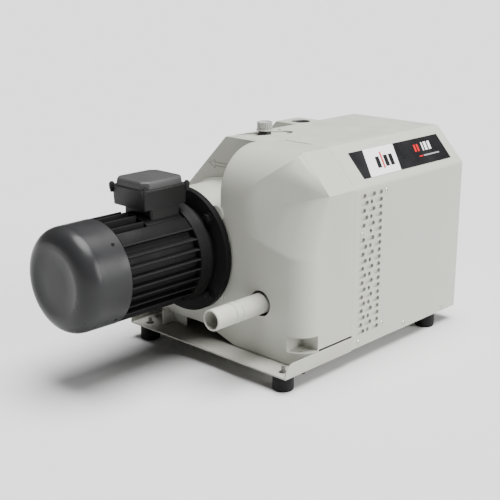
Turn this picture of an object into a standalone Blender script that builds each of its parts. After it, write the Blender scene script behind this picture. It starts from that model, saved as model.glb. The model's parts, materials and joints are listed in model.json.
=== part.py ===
"""Rotary vane vacuum pump: flange motor, lantern, pump, moulded front cowl and sheet-metal rear cover
on a folded base tray with rubber feet.

World frame in metres, +Z up, floor at z = 0, X along the shaft with the motor at -X, and -Y the side
with the air slots and the label. Dimensions below are millimetres and are turned into metres by mm().
"""
import math

import bmesh
import bpy
from mathutils import Matrix, Vector

# ---------------------------------------------------------------- driving dimensions (mm)
X_SHIFT = 145.15           # puts the origin under the middle of the overall length
AXIS_Y = 88.0              # shaft line
AXIS_Z = 210.0
GAP = 0.3                  # clearance between pieces that touch
SHARP_ANGLE = 35.0         # degrees; shallower edges are shaded smooth

TRAY_LENGTH = 514.0
TRAY_HALF = 215.4
TRAY_BOTTOM = 30.0
TRAY_TOP = 33.0
TRAY_LIP = 58.0
TRAY_WALL = 2.0

FOOT_RADIUS = 20.0
FOOT_X = (22.5, 480.5)
FOOT_NEAR_Y = -190.0
FOOT_FAR_Y = 181.0
STUD_RADIUS = 4.0

SIDE_Y = 213.0             # outer face of the cover sides
COVER_BACK = 563.6
COVER_TOP = 420.4
COVER_FOOT = 30.5          # the cover sides stand outside the cut-back tray edges
SHOULDER_Z = 349.2         # top of the near side, where the label slope starts
TOP_NEAR_Y = -146.3
TOP_FAR_Y = 78.5
FAR_SHOULDER_Z = 285.9
SHEET = 2.0
SEAM_X = 194.7             # joint between front cowl and rear cover
TONGUE_X = 159.0           # the cover reaches further forward on its far half
TONGUE_Y = -38.0
HOOD_X = (356.9, 432.8)    # raised band of the cover round the suction port
HOOD_TOP_Y = 134.8
HOOD_SHOULDER_Z = 342.2

COWL_WALL = 4.0
COWL_FOOT = 35.0
FRONT_X = 49.0             # flat front of the cowl
RECESS_X = 146.7           # set-back front panel over the lantern
BULGE_Y = -2.0             # left wall of the forward part of the cowl
ROUND_X = 139.0
ROUND_Z = 330.0
ROUND_R = 90.0
PEAK = (118.0, -SIDE_Y, SHOULDER_Z)
CORNER_R = 42.0
CORNER_TOP_Z = 238.0
CREASE_Z_AT_WALL = 282.0
CREASE_Z_AT_CORNER = 242.6
SHELF_TOP = 118.0
COWL_ARCH_Z = 60.0

FLANGE_X = (31.0, 44.2)
FLANGE_R = 125.0
BOLT_CIRCLE_R = 107.5
LANTERN_R = 119.0
LANTERN_END = 160.0

FRAME_X = (-176.0, -9.0)
FRAME_R = 86.0
FIN_R = 99.0
FIN_PITCH = 18.5
FIN_TOP = 62.6             # topmost level fin above the shaft line
UPRIGHT_PITCH = 21.0
FIN_THICK = 3.0
HOOD_RIM_X = -177.8
HOOD_END_X = -273.3

BOX_CENTRE = (-48.0, 88.0)
BOX_X = (-98.0, 2.0)
BOX_Y = (43.0, 133.0)
BOX_Z = (317.0, 355.0)
LID_TOP = 369.5

PIPE_Y = -105.0
PIPE_Z = 138.0
PIPE_R = 20.0
PIPE_END_X = -78.0
SILENCER_X = (255.0, 470.0)
SILENCER_R = 58.0

PORT_X = 390.5
PORT_Y = 93.2
PORT_R = 21.0

CAP_X = 225.0
CAP_Y = 46.0
CAP_SEAT_Z = 424.6

PUMP_X = (178.3, 434.0)
PUMP_R = 96.0
BORE_R = 66.0
BORE_LIFT = 8.0
ROTOR_R = 57.2
VANES = 4

SLOT_ROWS = 20
SLOT_PITCH = 14.35
SLOT_TOP_Z = 332.8
SLOT_HEIGHT = 5.0
SLOT_SCREW_ROW = 5         # a screw takes the place of this row's first slot

# ---------------------------------------------------------------- scene set-up
for old in list(bpy.data.objects):
    bpy.data.objects.remove(old, do_unlink=True)

scene = bpy.context.scene
scene.unit_settings.system = "METRIC"
scene.unit_settings.scale_length = 1.0

pump = bpy.data.collections.new("vacuum_pump")
scene.collection.children.link(pump)
cutters = bpy.data.collections.new("cutters")
scene.collection.children.link(cutters)


def mm(value):
    return value * 0.001


def point(x, y, z):
    """A point of the drawing frame (mm from the tray's front edge) in world metres."""
    return Vector((mm(x - X_SHIFT), mm(y), mm(z)))


def material(name, colour, roughness, metallic):
    made = bpy.data.materials.new(name)
    made.use_nodes = True
    made.diffuse_color = (*colour, 1.0)
    shader = made.node_tree.nodes["Principled BSDF"]
    shader.inputs["Base Color"].default_value = (*colour, 1.0)
    shader.inputs["Roughness"].default_value = roughness
    shader.inputs["Metallic"].default_value = metallic
    return made


PAINT = material("light_grey_paint", (0.55, 0.55, 0.52), 0.45, 0.0)
MOULDING = material("light_grey_moulding", (0.53, 0.53, 0.50), 0.5, 0.0)
BLACK_CAST = material("black_cast_aluminium", (0.03, 0.03, 0.03), 0.5, 0.2)
DARK_STEEL = material("dark_grey_sheet", (0.06, 0.06, 0.062), 0.45, 0.2)
LID_GREY = material("box_lid_grey", (0.16, 0.16, 0.16), 0.5, 0.0)
RUBBER = material("rubber", (0.02, 0.02, 0.02), 0.8, 0.0)
STEEL = material("steel", (0.56, 0.57, 0.58), 0.35, 1.0)
ZINC = material("zinc_plated", (0.62, 0.62, 0.6), 0.4, 1.0)
IRON = material("grey_iron", (0.25, 0.26, 0.27), 0.55, 0.6)
COPPER = material("copper", (0.72, 0.36, 0.2), 0.4, 1.0)
GRAPHITE = material("graphite", (0.08, 0.08, 0.085), 0.6, 0.1)
PLASTIC = material("black_plastic", (0.025, 0.025, 0.025), 0.55, 0.0)
LABEL = material("label_black", (0.02, 0.02, 0.022), 0.35, 0.0)
POLYURETHANE = material("polyurethane_red", (0.5, 0.06, 0.04), 0.5, 0.0)


# ---------------------------------------------------------------- building helpers
def finish(name, shape, finish_material, origin=None):
    """Turn a bmesh drawn in world metres into an object whose origin is at `origin`."""
    bmesh.ops.recalc_face_normals(shape, faces=shape.faces)
    if origin is not None:
        bmesh.ops.translate(shape, verts=shape.verts, vec=-origin)
    mesh = bpy.data.meshes.new(name)
    shape.to_mesh(mesh)
    shape.free()
    made = bpy.data.objects.new(name, mesh)
    if origin is not None:
        made.location = origin
    if finish_material is None:
        cutters.objects.link(made)
        made.hide_render = True
        made.display_type = "WIRE"
    else:
        pump.objects.link(made)
        mesh.materials.append(finish_material)
        mesh.shade_smooth()
        mesh.set_sharp_from_angle(angle=math.radians(SHARP_ANGLE))
    return made


def box_shape(x_range, y_range, z_range, shape=None):
    """Axis-aligned block."""
    shape = shape or bmesh.new()
    low = point(x_range[0], y_range[0], z_range[0])
    high = point(x_range[1], y_range[1], z_range[1])
    size = high - low
    place = Matrix.Translation((low + high) / 2.0) @ Matrix.Diagonal((*size, 1.0))
    bmesh.ops.create_cube(shape, size=1.0, matrix=place)
    return shape


def prism_shape(outline, direction, shape=None):
    """Extrude a flat outline of world points along `direction`."""
    shape = shape or bmesh.new()
    corners = [shape.verts.new(corner) for corner in outline]
    face = shape.faces.new(corners)
    grown = bmesh.ops.extrude_face_region(shape, geom=[face])
    moved = [item for item in grown["geom"] if isinstance(item, bmesh.types.BMVert)]
    bmesh.ops.translate(shape, verts=moved, vec=direction)
    return shape


def along_x(outline_yz, x_from, x_to):
    """Prism along X from a (y, z) outline."""
    start = [point(x_from, y, z) for y, z in outline_yz]
    return prism_shape(start, Vector((mm(x_to - x_from), 0.0, 0.0)))


def lathe_shape(profile, centre, axis, segments, shape=None):
    """Spin a (distance along axis, radius) outline about an axis line through `centre`.

    An outline whose first and last points lie on the axis is left open there.
    """
    shape = shape or bmesh.new()
    side = Vector((0.0, 0.0, 1.0)) if axis.x else Vector((1.0, 0.0, 0.0))
    corners = [shape.verts.new(centre + axis * mm(a) + side * mm(r)) for a, r in profile]
    edges = [shape.edges.new(pair) for pair in zip(corners, corners[1:])]
    on_axis = profile[0][1] == 0.0 and profile[-1][1] == 0.0
    if not on_axis:
        edges.append(shape.edges.new((corners[-1], corners[0])))
    bmesh.ops.spin(shape, geom=corners + edges, angle=2.0 * math.pi, steps=segments, use_merge=True,
                   axis=axis, cent=centre)
    bmesh.ops.remove_doubles(shape, verts=shape.verts, dist=1e-7)
    return shape


ALONG_X = Vector((1.0, 0.0, 0.0))
ALONG_Y = Vector((0.0, 1.0, 0.0))
ALONG_Z = Vector((0.0, 0.0, 1.0))
SHAFT_ORIGIN = point(0.0, AXIS_Y, AXIS_Z)


def shaft_lathe(name, profile, finish_material, segments=24):
    """A piece turned about the shaft line."""
    return finish(name, lathe_shape(profile, SHAFT_ORIGIN, ALONG_X, segments), finish_material,
                  origin=SHAFT_ORIGIN)


def x_lathe(name, profile, y, z, finish_material, segments=32):
    return finish(name, lathe_shape(profile, point(0.0, y, z), ALONG_X, segments), finish_material)


def z_lathe(name, profile, x, y, finish_material, segments=32):
    """A piece turned about a vertical line; its origin is on that line at the floor."""
    base = point(x, y, 0.0)
    return finish(name, lathe_shape(profile, base, ALONG_Z, segments), finish_material, origin=base)


def combine(target, tool, operation):
    """Join or cut with a Boolean modifier."""
    step = target.modifiers.new(operation.lower(), "BOOLEAN")
    step.operation = operation
    step.solver = "EXACT"
    step.object = tool
    return target


def cut(target, tool):
    return combine(target, tool, "DIFFERENCE")


def join(target, tool):
    return combine(target, tool, "UNION")


def arc(centre_a, centre_b, radius, start, end, steps):
    """Points of an arc in a plane, angles in degrees, measured from the first axis."""
    turned = []
    for step in range(steps + 1):
        angle = math.radians(start + (end - start) * step / steps)
        turned.append((centre_a + radius * math.cos(angle), centre_b + radius * math.sin(angle)))
    return turned


# ---------------------------------------------------------------- base tray and feet
tray_outline = [(-TRAY_HALF, TRAY_BOTTOM), (TRAY_HALF, TRAY_BOTTOM), (TRAY_HALF, TRAY_LIP),
                (TRAY_HALF - TRAY_WALL, TRAY_LIP), (TRAY_HALF - TRAY_WALL, TRAY_TOP),
                (-TRAY_HALF + TRAY_WALL, TRAY_TOP), (-TRAY_HALF + TRAY_WALL, TRAY_LIP),
                (-TRAY_HALF, TRAY_LIP)]
base_tray = finish("base_tray", along_x(tray_outline, 0.0, TRAY_LENGTH), PAINT)

LIP_NOSE_R = 24.0
nose = arc(LIP_NOSE_R, TRAY_LIP - LIP_NOSE_R, LIP_NOSE_R, 180.0, 90.0, 6)
nose_outline = [point(x, -TRAY_HALF - 5.0, z) for x, z in [(-5.0, nose[0][1])] + nose
                + [(LIP_NOSE_R, TRAY_LIP + 5.0), (-5.0, TRAY_LIP + 5.0)]]
lip_nose = finish("lip_nose_cutter", prism_shape(nose_outline, Vector((0.0, mm(2 * TRAY_HALF + 10), 0.0))),
                  None)
cut(base_tray, lip_nose)
# Behind the cowl the cover's sides run down past the tray, so its lips and edges end there.
COVER_BAY_Y = SIDE_Y - SHEET - GAP
for bay, bay_x, bay_y in (("near", SEAM_X - 0.5, (-TRAY_HALF - 7.0, -COVER_BAY_Y)),
                          ("far", TONGUE_X - 0.5, (COVER_BAY_Y, TRAY_HALF + 7.0))):
    cut(base_tray, finish("cover_bay_" + bay,
                          box_shape((bay_x, TRAY_LENGTH + 6.0), bay_y, (TRAY_BOTTOM - 9.0, TRAY_LIP + 9.0)),
                          None))

foot_spots = {
    "front_near": (FOOT_X[0], FOOT_NEAR_Y),
    "front_far": (FOOT_X[0], FOOT_FAR_Y),
    "rear_near": (FOOT_X[1], FOOT_NEAR_Y),
    "rear_far": (FOOT_X[1], FOOT_FAR_Y),
}
STUD_HOLE_R = 8.5
STUD_ROOT_Z = 16.0
foot_top = TRAY_BOTTOM - GAP
stud_holes = bmesh.new()
for spot, (foot_x, foot_y) in foot_spots.items():
    lathe_shape([(TRAY_BOTTOM - 3, 0.0), (TRAY_BOTTOM - 3, STUD_HOLE_R), (TRAY_TOP + 3, STUD_HOLE_R),
                 (TRAY_TOP + 3, 0.0)], point(foot_x, foot_y, 0.0), ALONG_Z, 16, stud_holes)
    z_lathe("foot_" + spot,
            [(0.0, 0.0), (0.0, FOOT_RADIUS - 1.0), (1.0, FOOT_RADIUS), (foot_top - 1.0, FOOT_RADIUS),
             (foot_top, FOOT_RADIUS - 1.0), (foot_top, STUD_RADIUS + GAP),
             (STUD_ROOT_Z, STUD_RADIUS + GAP), (STUD_ROOT_Z, 0.0)],
            foot_x, foot_y, RUBBER, 20)
    z_lathe("stud_" + spot,
            [(STUD_ROOT_Z + GAP, 0.0), (STUD_ROOT_Z + GAP, STUD_RADIUS), (44.0, STUD_RADIUS),
             (45.5, STUD_RADIUS - 1.5), (45.5, 0.0)],
            foot_x, foot_y, ZINC, 10)
cut(base_tray, finish("stud_hole_cutter", stud_holes, None))

# Folded support under the lantern, with a slanted leading face.
guide_wall = 2.5
guide_plan = [(30.0, 176.0), (30.0, 148.0), (46.0, 133.0), (112.0, 133.0)]
guide_back = [(112.0, 133.0 + guide_wall), (46.0 + 1.1, 133.0 + guide_wall), (30.0 + guide_wall, 149.1),
              (30.0 + guide_wall, 176.0)]
guide_low = [point(x, y, TRAY_TOP + GAP) for x, y in guide_plan + guide_back]
support_guide = finish("support_guide", prism_shape(guide_low, Vector((0, 0, mm(25.0)))), PAINT)
nose_plan = [(30.0, 176.0), (30.0, 148.0), (45.0, 133.9), (46.8, 135.7), (30.0 + guide_wall, 149.1),
             (30.0 + guide_wall, 176.0)]
nose_low = [point(x, y, TRAY_TOP + 10.0) for x, y in nose_plan]
join(support_guide, finish("guide_nose_tool", prism_shape(nose_low, Vector((0, 0, mm(27.0)))), None))

# ---------------------------------------------------------------- rear cover
slope_normal = Vector((0.0, SHOULDER_Z - COVER_TOP, SIDE_Y + TOP_NEAR_Y)).normalized()
slope_level = slope_normal.y * TOP_NEAR_Y + slope_normal.z * COVER_TOP


def cover_outline(inset, foot):
    """(y, z) outline of the cover moved inwards by `inset`."""
    near = -SIDE_Y + inset
    far = SIDE_Y - inset
    top = COVER_TOP - inset
    near_level = slope_level - inset
    far_level = TOP_FAR_Y + COVER_TOP - inset * math.sqrt(2.0)
    return [(near, foot), (near, (near_level - slope_normal.y * near) / slope_normal.z),
            ((near_level - slope_normal.z * top) / slope_normal.y, top), (far_level - top, top),
            (far, far_level - far), (far, foot)]


def hood_outline(inset, foot):
    top = COVER_TOP - inset
    far = SIDE_Y - inset
    level = HOOD_TOP_Y + COVER_TOP - inset * math.sqrt(2.0)
    return [(60.0, foot), (60.0, top), (level - top, top), (far, level - far), (far, foot)]


BEND_R = 5.0


def soften(outline, radius):
    """Round the inner corners of an open (y, z) outline, leaving its first and last points."""
    rounded = [outline[0]]
    for before, corner, after in zip(outline, outline[1:], outline[2:]):
        middle = Vector(corner)
        arriving = (Vector(before) - middle).normalized()
        leaving = (Vector(after) - middle).normalized()
        half = arriving.angle(leaving) / 2.0
        trim = radius / math.tan(half)
        centre = middle + (arriving + leaving).normalized() * radius / math.sin(half)
        start = middle + arriving * trim
        finish_at = middle + leaving * trim
        crown = centre + (middle - centre).normalized() * radius
        rounded += [tuple(start), tuple(crown), tuple(finish_at)]
    return rounded + [outline[-1]]


rear_cover = finish("rear_cover",
                    along_x(soften(cover_outline(0.0, COVER_FOOT), BEND_R), TONGUE_X + GAP / 2, COVER_BACK),
                    PAINT)
join(rear_cover, finish("hood_tool", along_x(hood_outline(0.0, 200.0), *HOOD_X), None))
cover_inside = finish("cover_inside",
                      along_x(cover_outline(SHEET, COVER_FOOT - 12.0), TONGUE_X - 12.0, COVER_BACK - SHEET),
                      None)
join(cover_inside, finish("hood_inside",
                          along_x(hood_outline(SHEET + 0.2, 190.0), HOOD_X[0] + SHEET, HOOD_X[1] - SHEET),
                          None))
cut(rear_cover, cover_inside)
# The cowl takes over from the cover ahead of this step in the seam.
cut(rear_cover, finish("cowl_side_room",
                       box_shape((TONGUE_X - 20.0, SEAM_X + GAP / 2), (-SIDE_Y - 9.0, TONGUE_Y + GAP),
                                 (10.0, COVER_TOP + 9.0)), None))

# Air slots: three columns whose lengths alternate from row to row.
slots = bmesh.new()
for row in range(SLOT_ROWS):
    middle = SLOT_TOP_Z - row * SLOT_PITCH
    columns = [(212.0, 235.0), (240.5, 249.0), (257.0, 279.5)] if row % 2 else \
        [(212.0, 227.5), (233.0, 257.0), (265.0, 279.0)]
    if row == SLOT_SCREW_ROW:
        columns = columns[1:]
    for column in columns:
        box_shape(column, (-SIDE_Y - 5.0, -SIDE_Y + SHEET + 3.0),
                  (middle - SLOT_HEIGHT / 2, middle + SLOT_HEIGHT / 2), slots)
cut(rear_cover, finish("air_slot_cutter", slots, None))

port_hole = lathe_shape([(COVER_TOP - 20, 0.0), (COVER_TOP - 20, PORT_R), (COVER_TOP + 5, PORT_R),
                         (COVER_TOP + 5, 0.0)], point(PORT_X, PORT_Y, 0.0), ALONG_Z, 32)
cut(rear_cover, finish("port_hole_cutter", port_hole, None))
CAP_HOLE_R = 14.0
cap_hole = lathe_shape([(COVER_TOP - 20, 0.0), (COVER_TOP - 20, CAP_HOLE_R), (COVER_TOP + 5, CAP_HOLE_R),
                        (COVER_TOP + 5, 0.0)], point(CAP_X, CAP_Y, 0.0), ALONG_Z, 24)
cut(rear_cover, finish("cap_hole_cutter", cap_hole, None))

LABEL_X = (235.0, 525.5)
LABEL_Z = (361.6, 405.4)
label_corners = []
for label_x, label_z in ((LABEL_X[0], LABEL_Z[0]), (LABEL_X[1], LABEL_Z[0]), (LABEL_X[1], LABEL_Z[1]),
                         (LABEL_X[0], LABEL_Z[1])):
    label_y = (slope_level + GAP - slope_normal.z * label_z) / slope_normal.y
    label_corners.append(point(label_x, label_y, label_z))
finish("label_plate", prism_shape(label_corners, slope_normal * mm(0.8)), LABEL)


# ---------------------------------------------------------------- front cowl
def cowl_block(inset, back, foot, left, cheek_r):
    """Forward part of the cowl: rounded over the top at its left, faceted towards the near corner."""
    front = FRONT_X + inset
    near = -SIDE_Y + inset
    top = COVER_TOP - inset
    radius = ROUND_R - inset
    centre_x = front + radius
    level = slope_level - inset
    shoulder_y = (level - slope_normal.z * top) / slope_normal.y
    peak = Vector((PEAK[0] + inset, near, (level - slope_normal.y * near) / slope_normal.z))
    corner_r = CORNER_R - inset
    corner_y = near + corner_r
    slope_front = peak.x

    def crease(y):
        share = (BULGE_Y - y) / (BULGE_Y + SIDE_Y - CORNER_R)
        return CREASE_Z_AT_WALL + (CREASE_Z_AT_CORNER - CREASE_Z_AT_WALL) * share - inset

    def upper_crease(y):
        """Faint ridge running back to the peak."""
        share = (y - near) / 64.5
        return peak.x - 19.7 * share, peak.z - 18.0 * share

    def column(y, blend, trim=0.0):
        upper = upper_crease(min(y, shoulder_y))
        arc_r = radius - trim
        rows = []
        for step in range(7):
            turn = math.radians(15.0 * step)
            curved = (centre_x - arc_r * math.sin(turn), top - radius + arc_r * math.cos(turn))
            share = step / 6.0
            sharp = (slope_front + (upper[0] - slope_front) * share, top + (upper[1] - top) * share)
            rows.append((curved[0] + (sharp[0] - curved[0]) * blend,
                         curved[1] + (sharp[1] - curved[1]) * blend))
        rows.append((front + trim, crease(y)))
        rows.append((front + trim, foot))
        return [point(x, y, z) for x, z in rows]

    columns = [column(left, 0.0, cheek_r), column(left - cheek_r * 0.3, 0.0, cheek_r * 0.3),
               column(left - cheek_r, 0.0), column(-58.0, 0.0), column(-104.0, 0.5),
               column(shoulder_y, 1.0)]
    slope_top = peak.z + (corner_y - near) * (top - peak.z) / (shoulder_y - near)
    upper = upper_crease(corner_y)
    last = []
    for step in range(7):
        share = step / 6.0
        last.append(point(slope_front + (upper[0] - slope_front) * share, corner_y,
                          slope_top + (upper[1] - slope_top) * share))
    last.append(point(front, corner_y, crease(corner_y)))
    last.append(point(front, corner_y, foot))
    columns.append(last)

    shape = bmesh.new()
    grid = [[shape.verts.new(corner) for corner in rows] for rows in columns]
    for first, second in zip(grid, grid[1:]):
        for row in range(8):
            shape.faces.new((first[row], first[row + 1], second[row + 1], second[row]))
    tip = shape.verts.new(point(*peak))
    for row in range(7):
        shape.faces.new((grid[-1][row], grid[-1][row + 1], tip))
    bend_top = [grid[-1][7]]
    bend_foot = [grid[-1][8]]
    steps = 6
    for step in range(1, steps + 1):
        turn = math.radians(90.0 * step / steps)
        x = front + corner_r - corner_r * math.cos(turn)
        y = corner_y - corner_r * math.sin(turn)
        level_z = CREASE_Z_AT_CORNER - inset + (CORNER_TOP_Z - CREASE_Z_AT_CORNER) * step / steps
        bend_top.append(shape.verts.new(point(x, y, level_z)))
        bend_foot.append(shape.verts.new(point(x, y, foot)))
    for step in range(steps):
        shape.faces.new((bend_top[step], bend_top[step + 1], tip))
        shape.faces.new((bend_top[step], bend_foot[step], bend_foot[step + 1], bend_top[step + 1]))
    back_near_foot = shape.verts.new(point(back, near, foot))
    back_near_top = shape.verts.new(point(back, near, peak.z))
    back_slope_top = shape.verts.new(point(back, shoulder_y, top))
    back_left_top = shape.verts.new(point(back, left, top - cheek_r))
    back_cheek_top = shape.verts.new(point(back, left - cheek_r * 0.3, top - cheek_r * 0.3))
    back_edge_top = shape.verts.new(point(back, left - cheek_r, top))
    back_left_foot = shape.verts.new(point(back, left, foot))
    tops = [rows[0] for rows in grid]
    feet = [rows[8] for rows in grid]
    shape.faces.new((tip, bend_top[-1], bend_foot[-1], back_near_foot, back_near_top))
    shape.faces.new((tops[-2], tops[-1], tip, back_near_top, back_slope_top))
    shape.faces.new([back_edge_top] + tops[2:-1] + [back_slope_top])
    shape.faces.new((tops[0], tops[1], back_cheek_top, back_left_top))
    shape.faces.new((tops[1], tops[2], back_edge_top, back_cheek_top))
    shape.faces.new(feet + bend_foot[1:] + [back_near_foot, back_left_foot])
    shape.faces.new(grid[0] + [back_left_foot, back_left_top])
    shape.faces.new((back_near_foot, back_near_top, back_slope_top, back_edge_top, back_cheek_top,
                     back_left_top, back_left_foot))
    return shape


CHEEK_R = 4.0
front_cowl = finish("front_cowl",
                    cowl_block(0.0, SEAM_X - GAP / 2, COWL_FOOT, BULGE_Y, CHEEK_R), MOULDING)

panel_back = TONGUE_X - GAP / 2
shelf = box_shape((FRONT_X, panel_back), (BULGE_Y - 12.0, SIDE_Y), (COWL_FOOT, SHELF_TOP))
join(front_cowl, finish("shelf_tool", shelf, None))
panel_outline = [(BULGE_Y - 12.0, COWL_FOOT), (BULGE_Y - 12.0, COVER_TOP), (TOP_FAR_Y, COVER_TOP),
                 (SIDE_Y, FAR_SHOULDER_Z), (SIDE_Y, COWL_FOOT)]
join(front_cowl, finish("panel_tool", along_x(panel_outline, RECESS_X, panel_back), None))
cut(front_cowl, finish("cowl_inside",
                       cowl_block(COWL_WALL, SEAM_X + 10.0, 20.0, BULGE_Y - COWL_WALL, 1.0), None))
panel_inside = [(BULGE_Y + 4.0, 20.0), (BULGE_Y + 4.0, COVER_TOP - COWL_WALL),
                (TOP_FAR_Y - 1.6, COVER_TOP - COWL_WALL), (SIDE_Y - COWL_WALL, FAR_SHOULDER_Z - 1.6),
                (SIDE_Y - COWL_WALL, 20.0)]
cut(front_cowl, finish("panel_inside", along_x(panel_inside, RECESS_X + COWL_WALL, panel_back + 10.0), None))
cut(front_cowl, finish("shelf_inside",
                       box_shape((FRONT_X + COWL_WALL, panel_back + 8.0),
                                 (BULGE_Y - 20.0, SIDE_Y - COWL_WALL), (18.0, SHELF_TOP - COWL_WALL)), None))
# The cover's tongue takes over from the cowl behind this step.
cut(front_cowl, finish("tongue_room",
                       box_shape((panel_back, SEAM_X + 6.0), (TONGUE_Y, SIDE_Y + 5.0), (15.0, 440.0)), None))
# Fixing pocket low in the rounded corner, with a floor for the screw.
POCKET_X = 93.0
POCKET_Y = -174.0
POCKET_Z = (60.0, 90.0)
liner_r = CORNER_R - 1.0
liner_x = FRONT_X + 1.0
liner_near = -SIDE_Y + 1.0
liner_plan = [(POCKET_X + COWL_WALL, liner_near)]
liner_plan += arc(liner_x + liner_r, liner_near + liner_r, liner_r, 270.0, 180.0, 6)
liner_plan += [(liner_x, POCKET_Y + COWL_WALL), (POCKET_X + COWL_WALL, POCKET_Y + COWL_WALL)]
liner_low = [point(x, y, POCKET_Z[0] - COWL_WALL) for x, y in liner_plan]
join(front_cowl, finish("pocket_liner",
                        prism_shape(liner_low, Vector((0, 0, mm(POCKET_Z[1] - POCKET_Z[0] + 2 * COWL_WALL)))),
                        None))
cut(front_cowl, finish("pocket_cutter",
                       box_shape((FRONT_X - 9.0, POCKET_X), (-SIDE_Y - 9.0, POCKET_Y), POCKET_Z), None))
pocket_screw = lathe_shape([(50.0, 0.0), (50.0, 2.5), (66.0, 2.5), (66.0, 0.0)],
                           point(67.0, -196.0, 0.0), ALONG_Z, 12)
cut(front_cowl, finish("pocket_hole_cutter", pocket_screw, None))
# Room for the lantern, the exhaust pipe and the air gap under the motor.
lantern_room = lathe_shape([(30.0, 0.0), (30.0, LANTERN_R + 11.0), (RECESS_X - 0.5, LANTERN_R + 11.0),
                            (RECESS_X - 0.5, LANTERN_R + 0.9), (TONGUE_X + 5.0, LANTERN_R + 0.9),
                            (TONGUE_X + 5.0, 0.0)], SHAFT_ORIGIN, ALONG_X, 36)
cut(front_cowl, finish("lantern_room", lantern_room, None))
pipe_room = lathe_shape([(30.0, 0.0), (30.0, PIPE_R + 3.0), (70.0, PIPE_R + 3.0), (70.0, 0.0)],
                        point(0.0, PIPE_Y, PIPE_Z), ALONG_X, 32)
cut(front_cowl, finish("pipe_room", pipe_room, None))
arch_outline = [(-37.0, 25.0), (-37.0, COWL_FOOT + 0.5), (9.0, 50.0), (34.0, COWL_ARCH_Z),
                (SIDE_Y + 8.0, COWL_ARCH_Z), (SIDE_Y + 8.0, 25.0)]
cut(front_cowl, finish("arch_cutter", along_x(arch_outline, FRONT_X - 12.0, panel_back - 20.0), None))

# ---------------------------------------------------------------- suction side
z_lathe("suction_neck",
        [(366.0, PORT_R), (366.0, 34.0), (371.0, 34.0), (371.0, 27.0), (COVER_TOP - SHEET - 1.0, 27.0),
         (COVER_TOP - SHEET - 1.0, PORT_R)], PORT_X, PORT_Y, IRON, 24)
valve_housing = z_lathe("valve_housing",
                        [(296.0, 24.0), (296.0, 36.0), (365.7, 36.0), (365.7, 26.0), (306.0, 26.0),
                         (306.0, 24.0)], PORT_X, PORT_Y, IRON, 24)
VALVE_SEAT_Z = 365.4
z_lathe("valve_disc", [(VALVE_SEAT_Z - 3.5, 0.0), (VALVE_SEAT_Z - 3.5, 24.5), (VALVE_SEAT_Z, 24.5),
                       (VALVE_SEAT_Z, 0.0)], PORT_X, PORT_Y, STEEL, 24)
SPRING_R = 17.0
SPRING_WIRE = 1.2
SPRING_FOOT = 331.0
SPRING_HEAD = VALVE_SEAT_Z - 3.5 - GAP
SPRING_TURNS = 3
z_lathe("valve_guide", [(312.0, 10.0), (312.0, 25.6), (SPRING_FOOT - SPRING_WIRE - GAP, 25.6),
                        (SPRING_FOOT - SPRING_WIRE - GAP, 10.0)], PORT_X, PORT_Y, STEEL, 24)


def coil(name, radius, wire, low, high, turns, x, y, finish_material):
    """Open coil spring as a filled curve turned into a mesh."""
    curve = bpy.data.curves.new(name + "_path", "CURVE")
    curve.dimensions = "3D"
    curve.bevel_depth = mm(wire)
    curve.bevel_resolution = 1
    curve.use_fill_caps = True
    spline = curve.splines.new("POLY")
    per_turn = 10
    count = per_turn * turns + 1
    spline.points.add(count - 1)
    for index in range(count):
        angle = 2.0 * math.pi * index / per_turn
        height = low + (high - low) * index / (count - 1)
        spline.points[index].co = (mm(radius) * math.cos(angle), mm(radius) * math.sin(angle),
                                   mm(height), 1.0)
    holder = bpy.data.objects.new(name + "_path", curve)
    scene.collection.objects.link(holder)
    bpy.context.view_layer.update()
    mesh = bpy.data.meshes.new_from_object(holder.evaluated_get(bpy.context.evaluated_depsgraph_get()))
    bpy.data.objects.remove(holder, do_unlink=True)
    shape = bmesh.new()
    shape.from_mesh(mesh)
    bmesh.ops.remove_doubles(shape, verts=shape.verts, dist=1e-6)
    base = point(x, y, 0.0)
    bmesh.ops.translate(shape, verts=shape.verts, vec=base)
    return finish(name, shape, finish_material, origin=base)


coil("valve_spring", SPRING_R, SPRING_WIRE, SPRING_FOOT, SPRING_HEAD - SPRING_WIRE, SPRING_TURNS,
     PORT_X, PORT_Y, STEEL)

# ---------------------------------------------------------------- screw cap on top
neck_top = CAP_SEAT_Z
z_lathe("cap_neck", [(398.0, 8.0), (398.0, 13.0), (neck_top, 13.0), (neck_top, 10.0), (neck_top + 9.0, 10.0),
                     (neck_top + 9.0, 8.0)], CAP_X, CAP_Y, PLASTIC, 24)
z_lathe("cap_washer", [(neck_top + GAP, 10.3), (neck_top + GAP, 14.0), (neck_top + 1.5, 14.0),
                       (neck_top + 1.5, 10.3)], CAP_X, CAP_Y, RUBBER, 24)
cap_foot = neck_top + 1.5 + GAP
CAP_KNURLS = 24
CAP_R = 15.5
knurl = []
for tooth in range(CAP_KNURLS):
    for part, radius in ((0.0, CAP_R), (0.4, CAP_R), (0.6, CAP_R - 0.9), (0.9, CAP_R - 0.9)):
        angle = 2.0 * math.pi * (tooth + part) / CAP_KNURLS
        knurl.append(point(CAP_X + radius * math.cos(angle), CAP_Y + radius * math.sin(angle),
                           cap_foot + 1.0))
cap_shape = prism_shape(knurl, Vector((0.0, 0.0, mm(17.0))))
cap_origin = point(CAP_X, CAP_Y, 0.0)
screw_cap = finish("screw_cap", cap_shape, MOULDING, origin=cap_origin)
join(screw_cap, finish("cap_collar_tool",
                       lathe_shape([(cap_foot, 0.0), (cap_foot, 17.3), (cap_foot + 2.5, 17.3),
                                    (cap_foot + 2.5, 0.0)], cap_origin, ALONG_Z, 32), None))
cut(screw_cap, finish("cap_thread_room",
                      lathe_shape([(cap_foot - 5.0, 0.0), (cap_foot - 5.0, 10.4), (neck_top + 11.0, 10.4),
                                   (neck_top + 11.0, 0.0)], cap_origin, ALONG_Z, 24), None))

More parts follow.
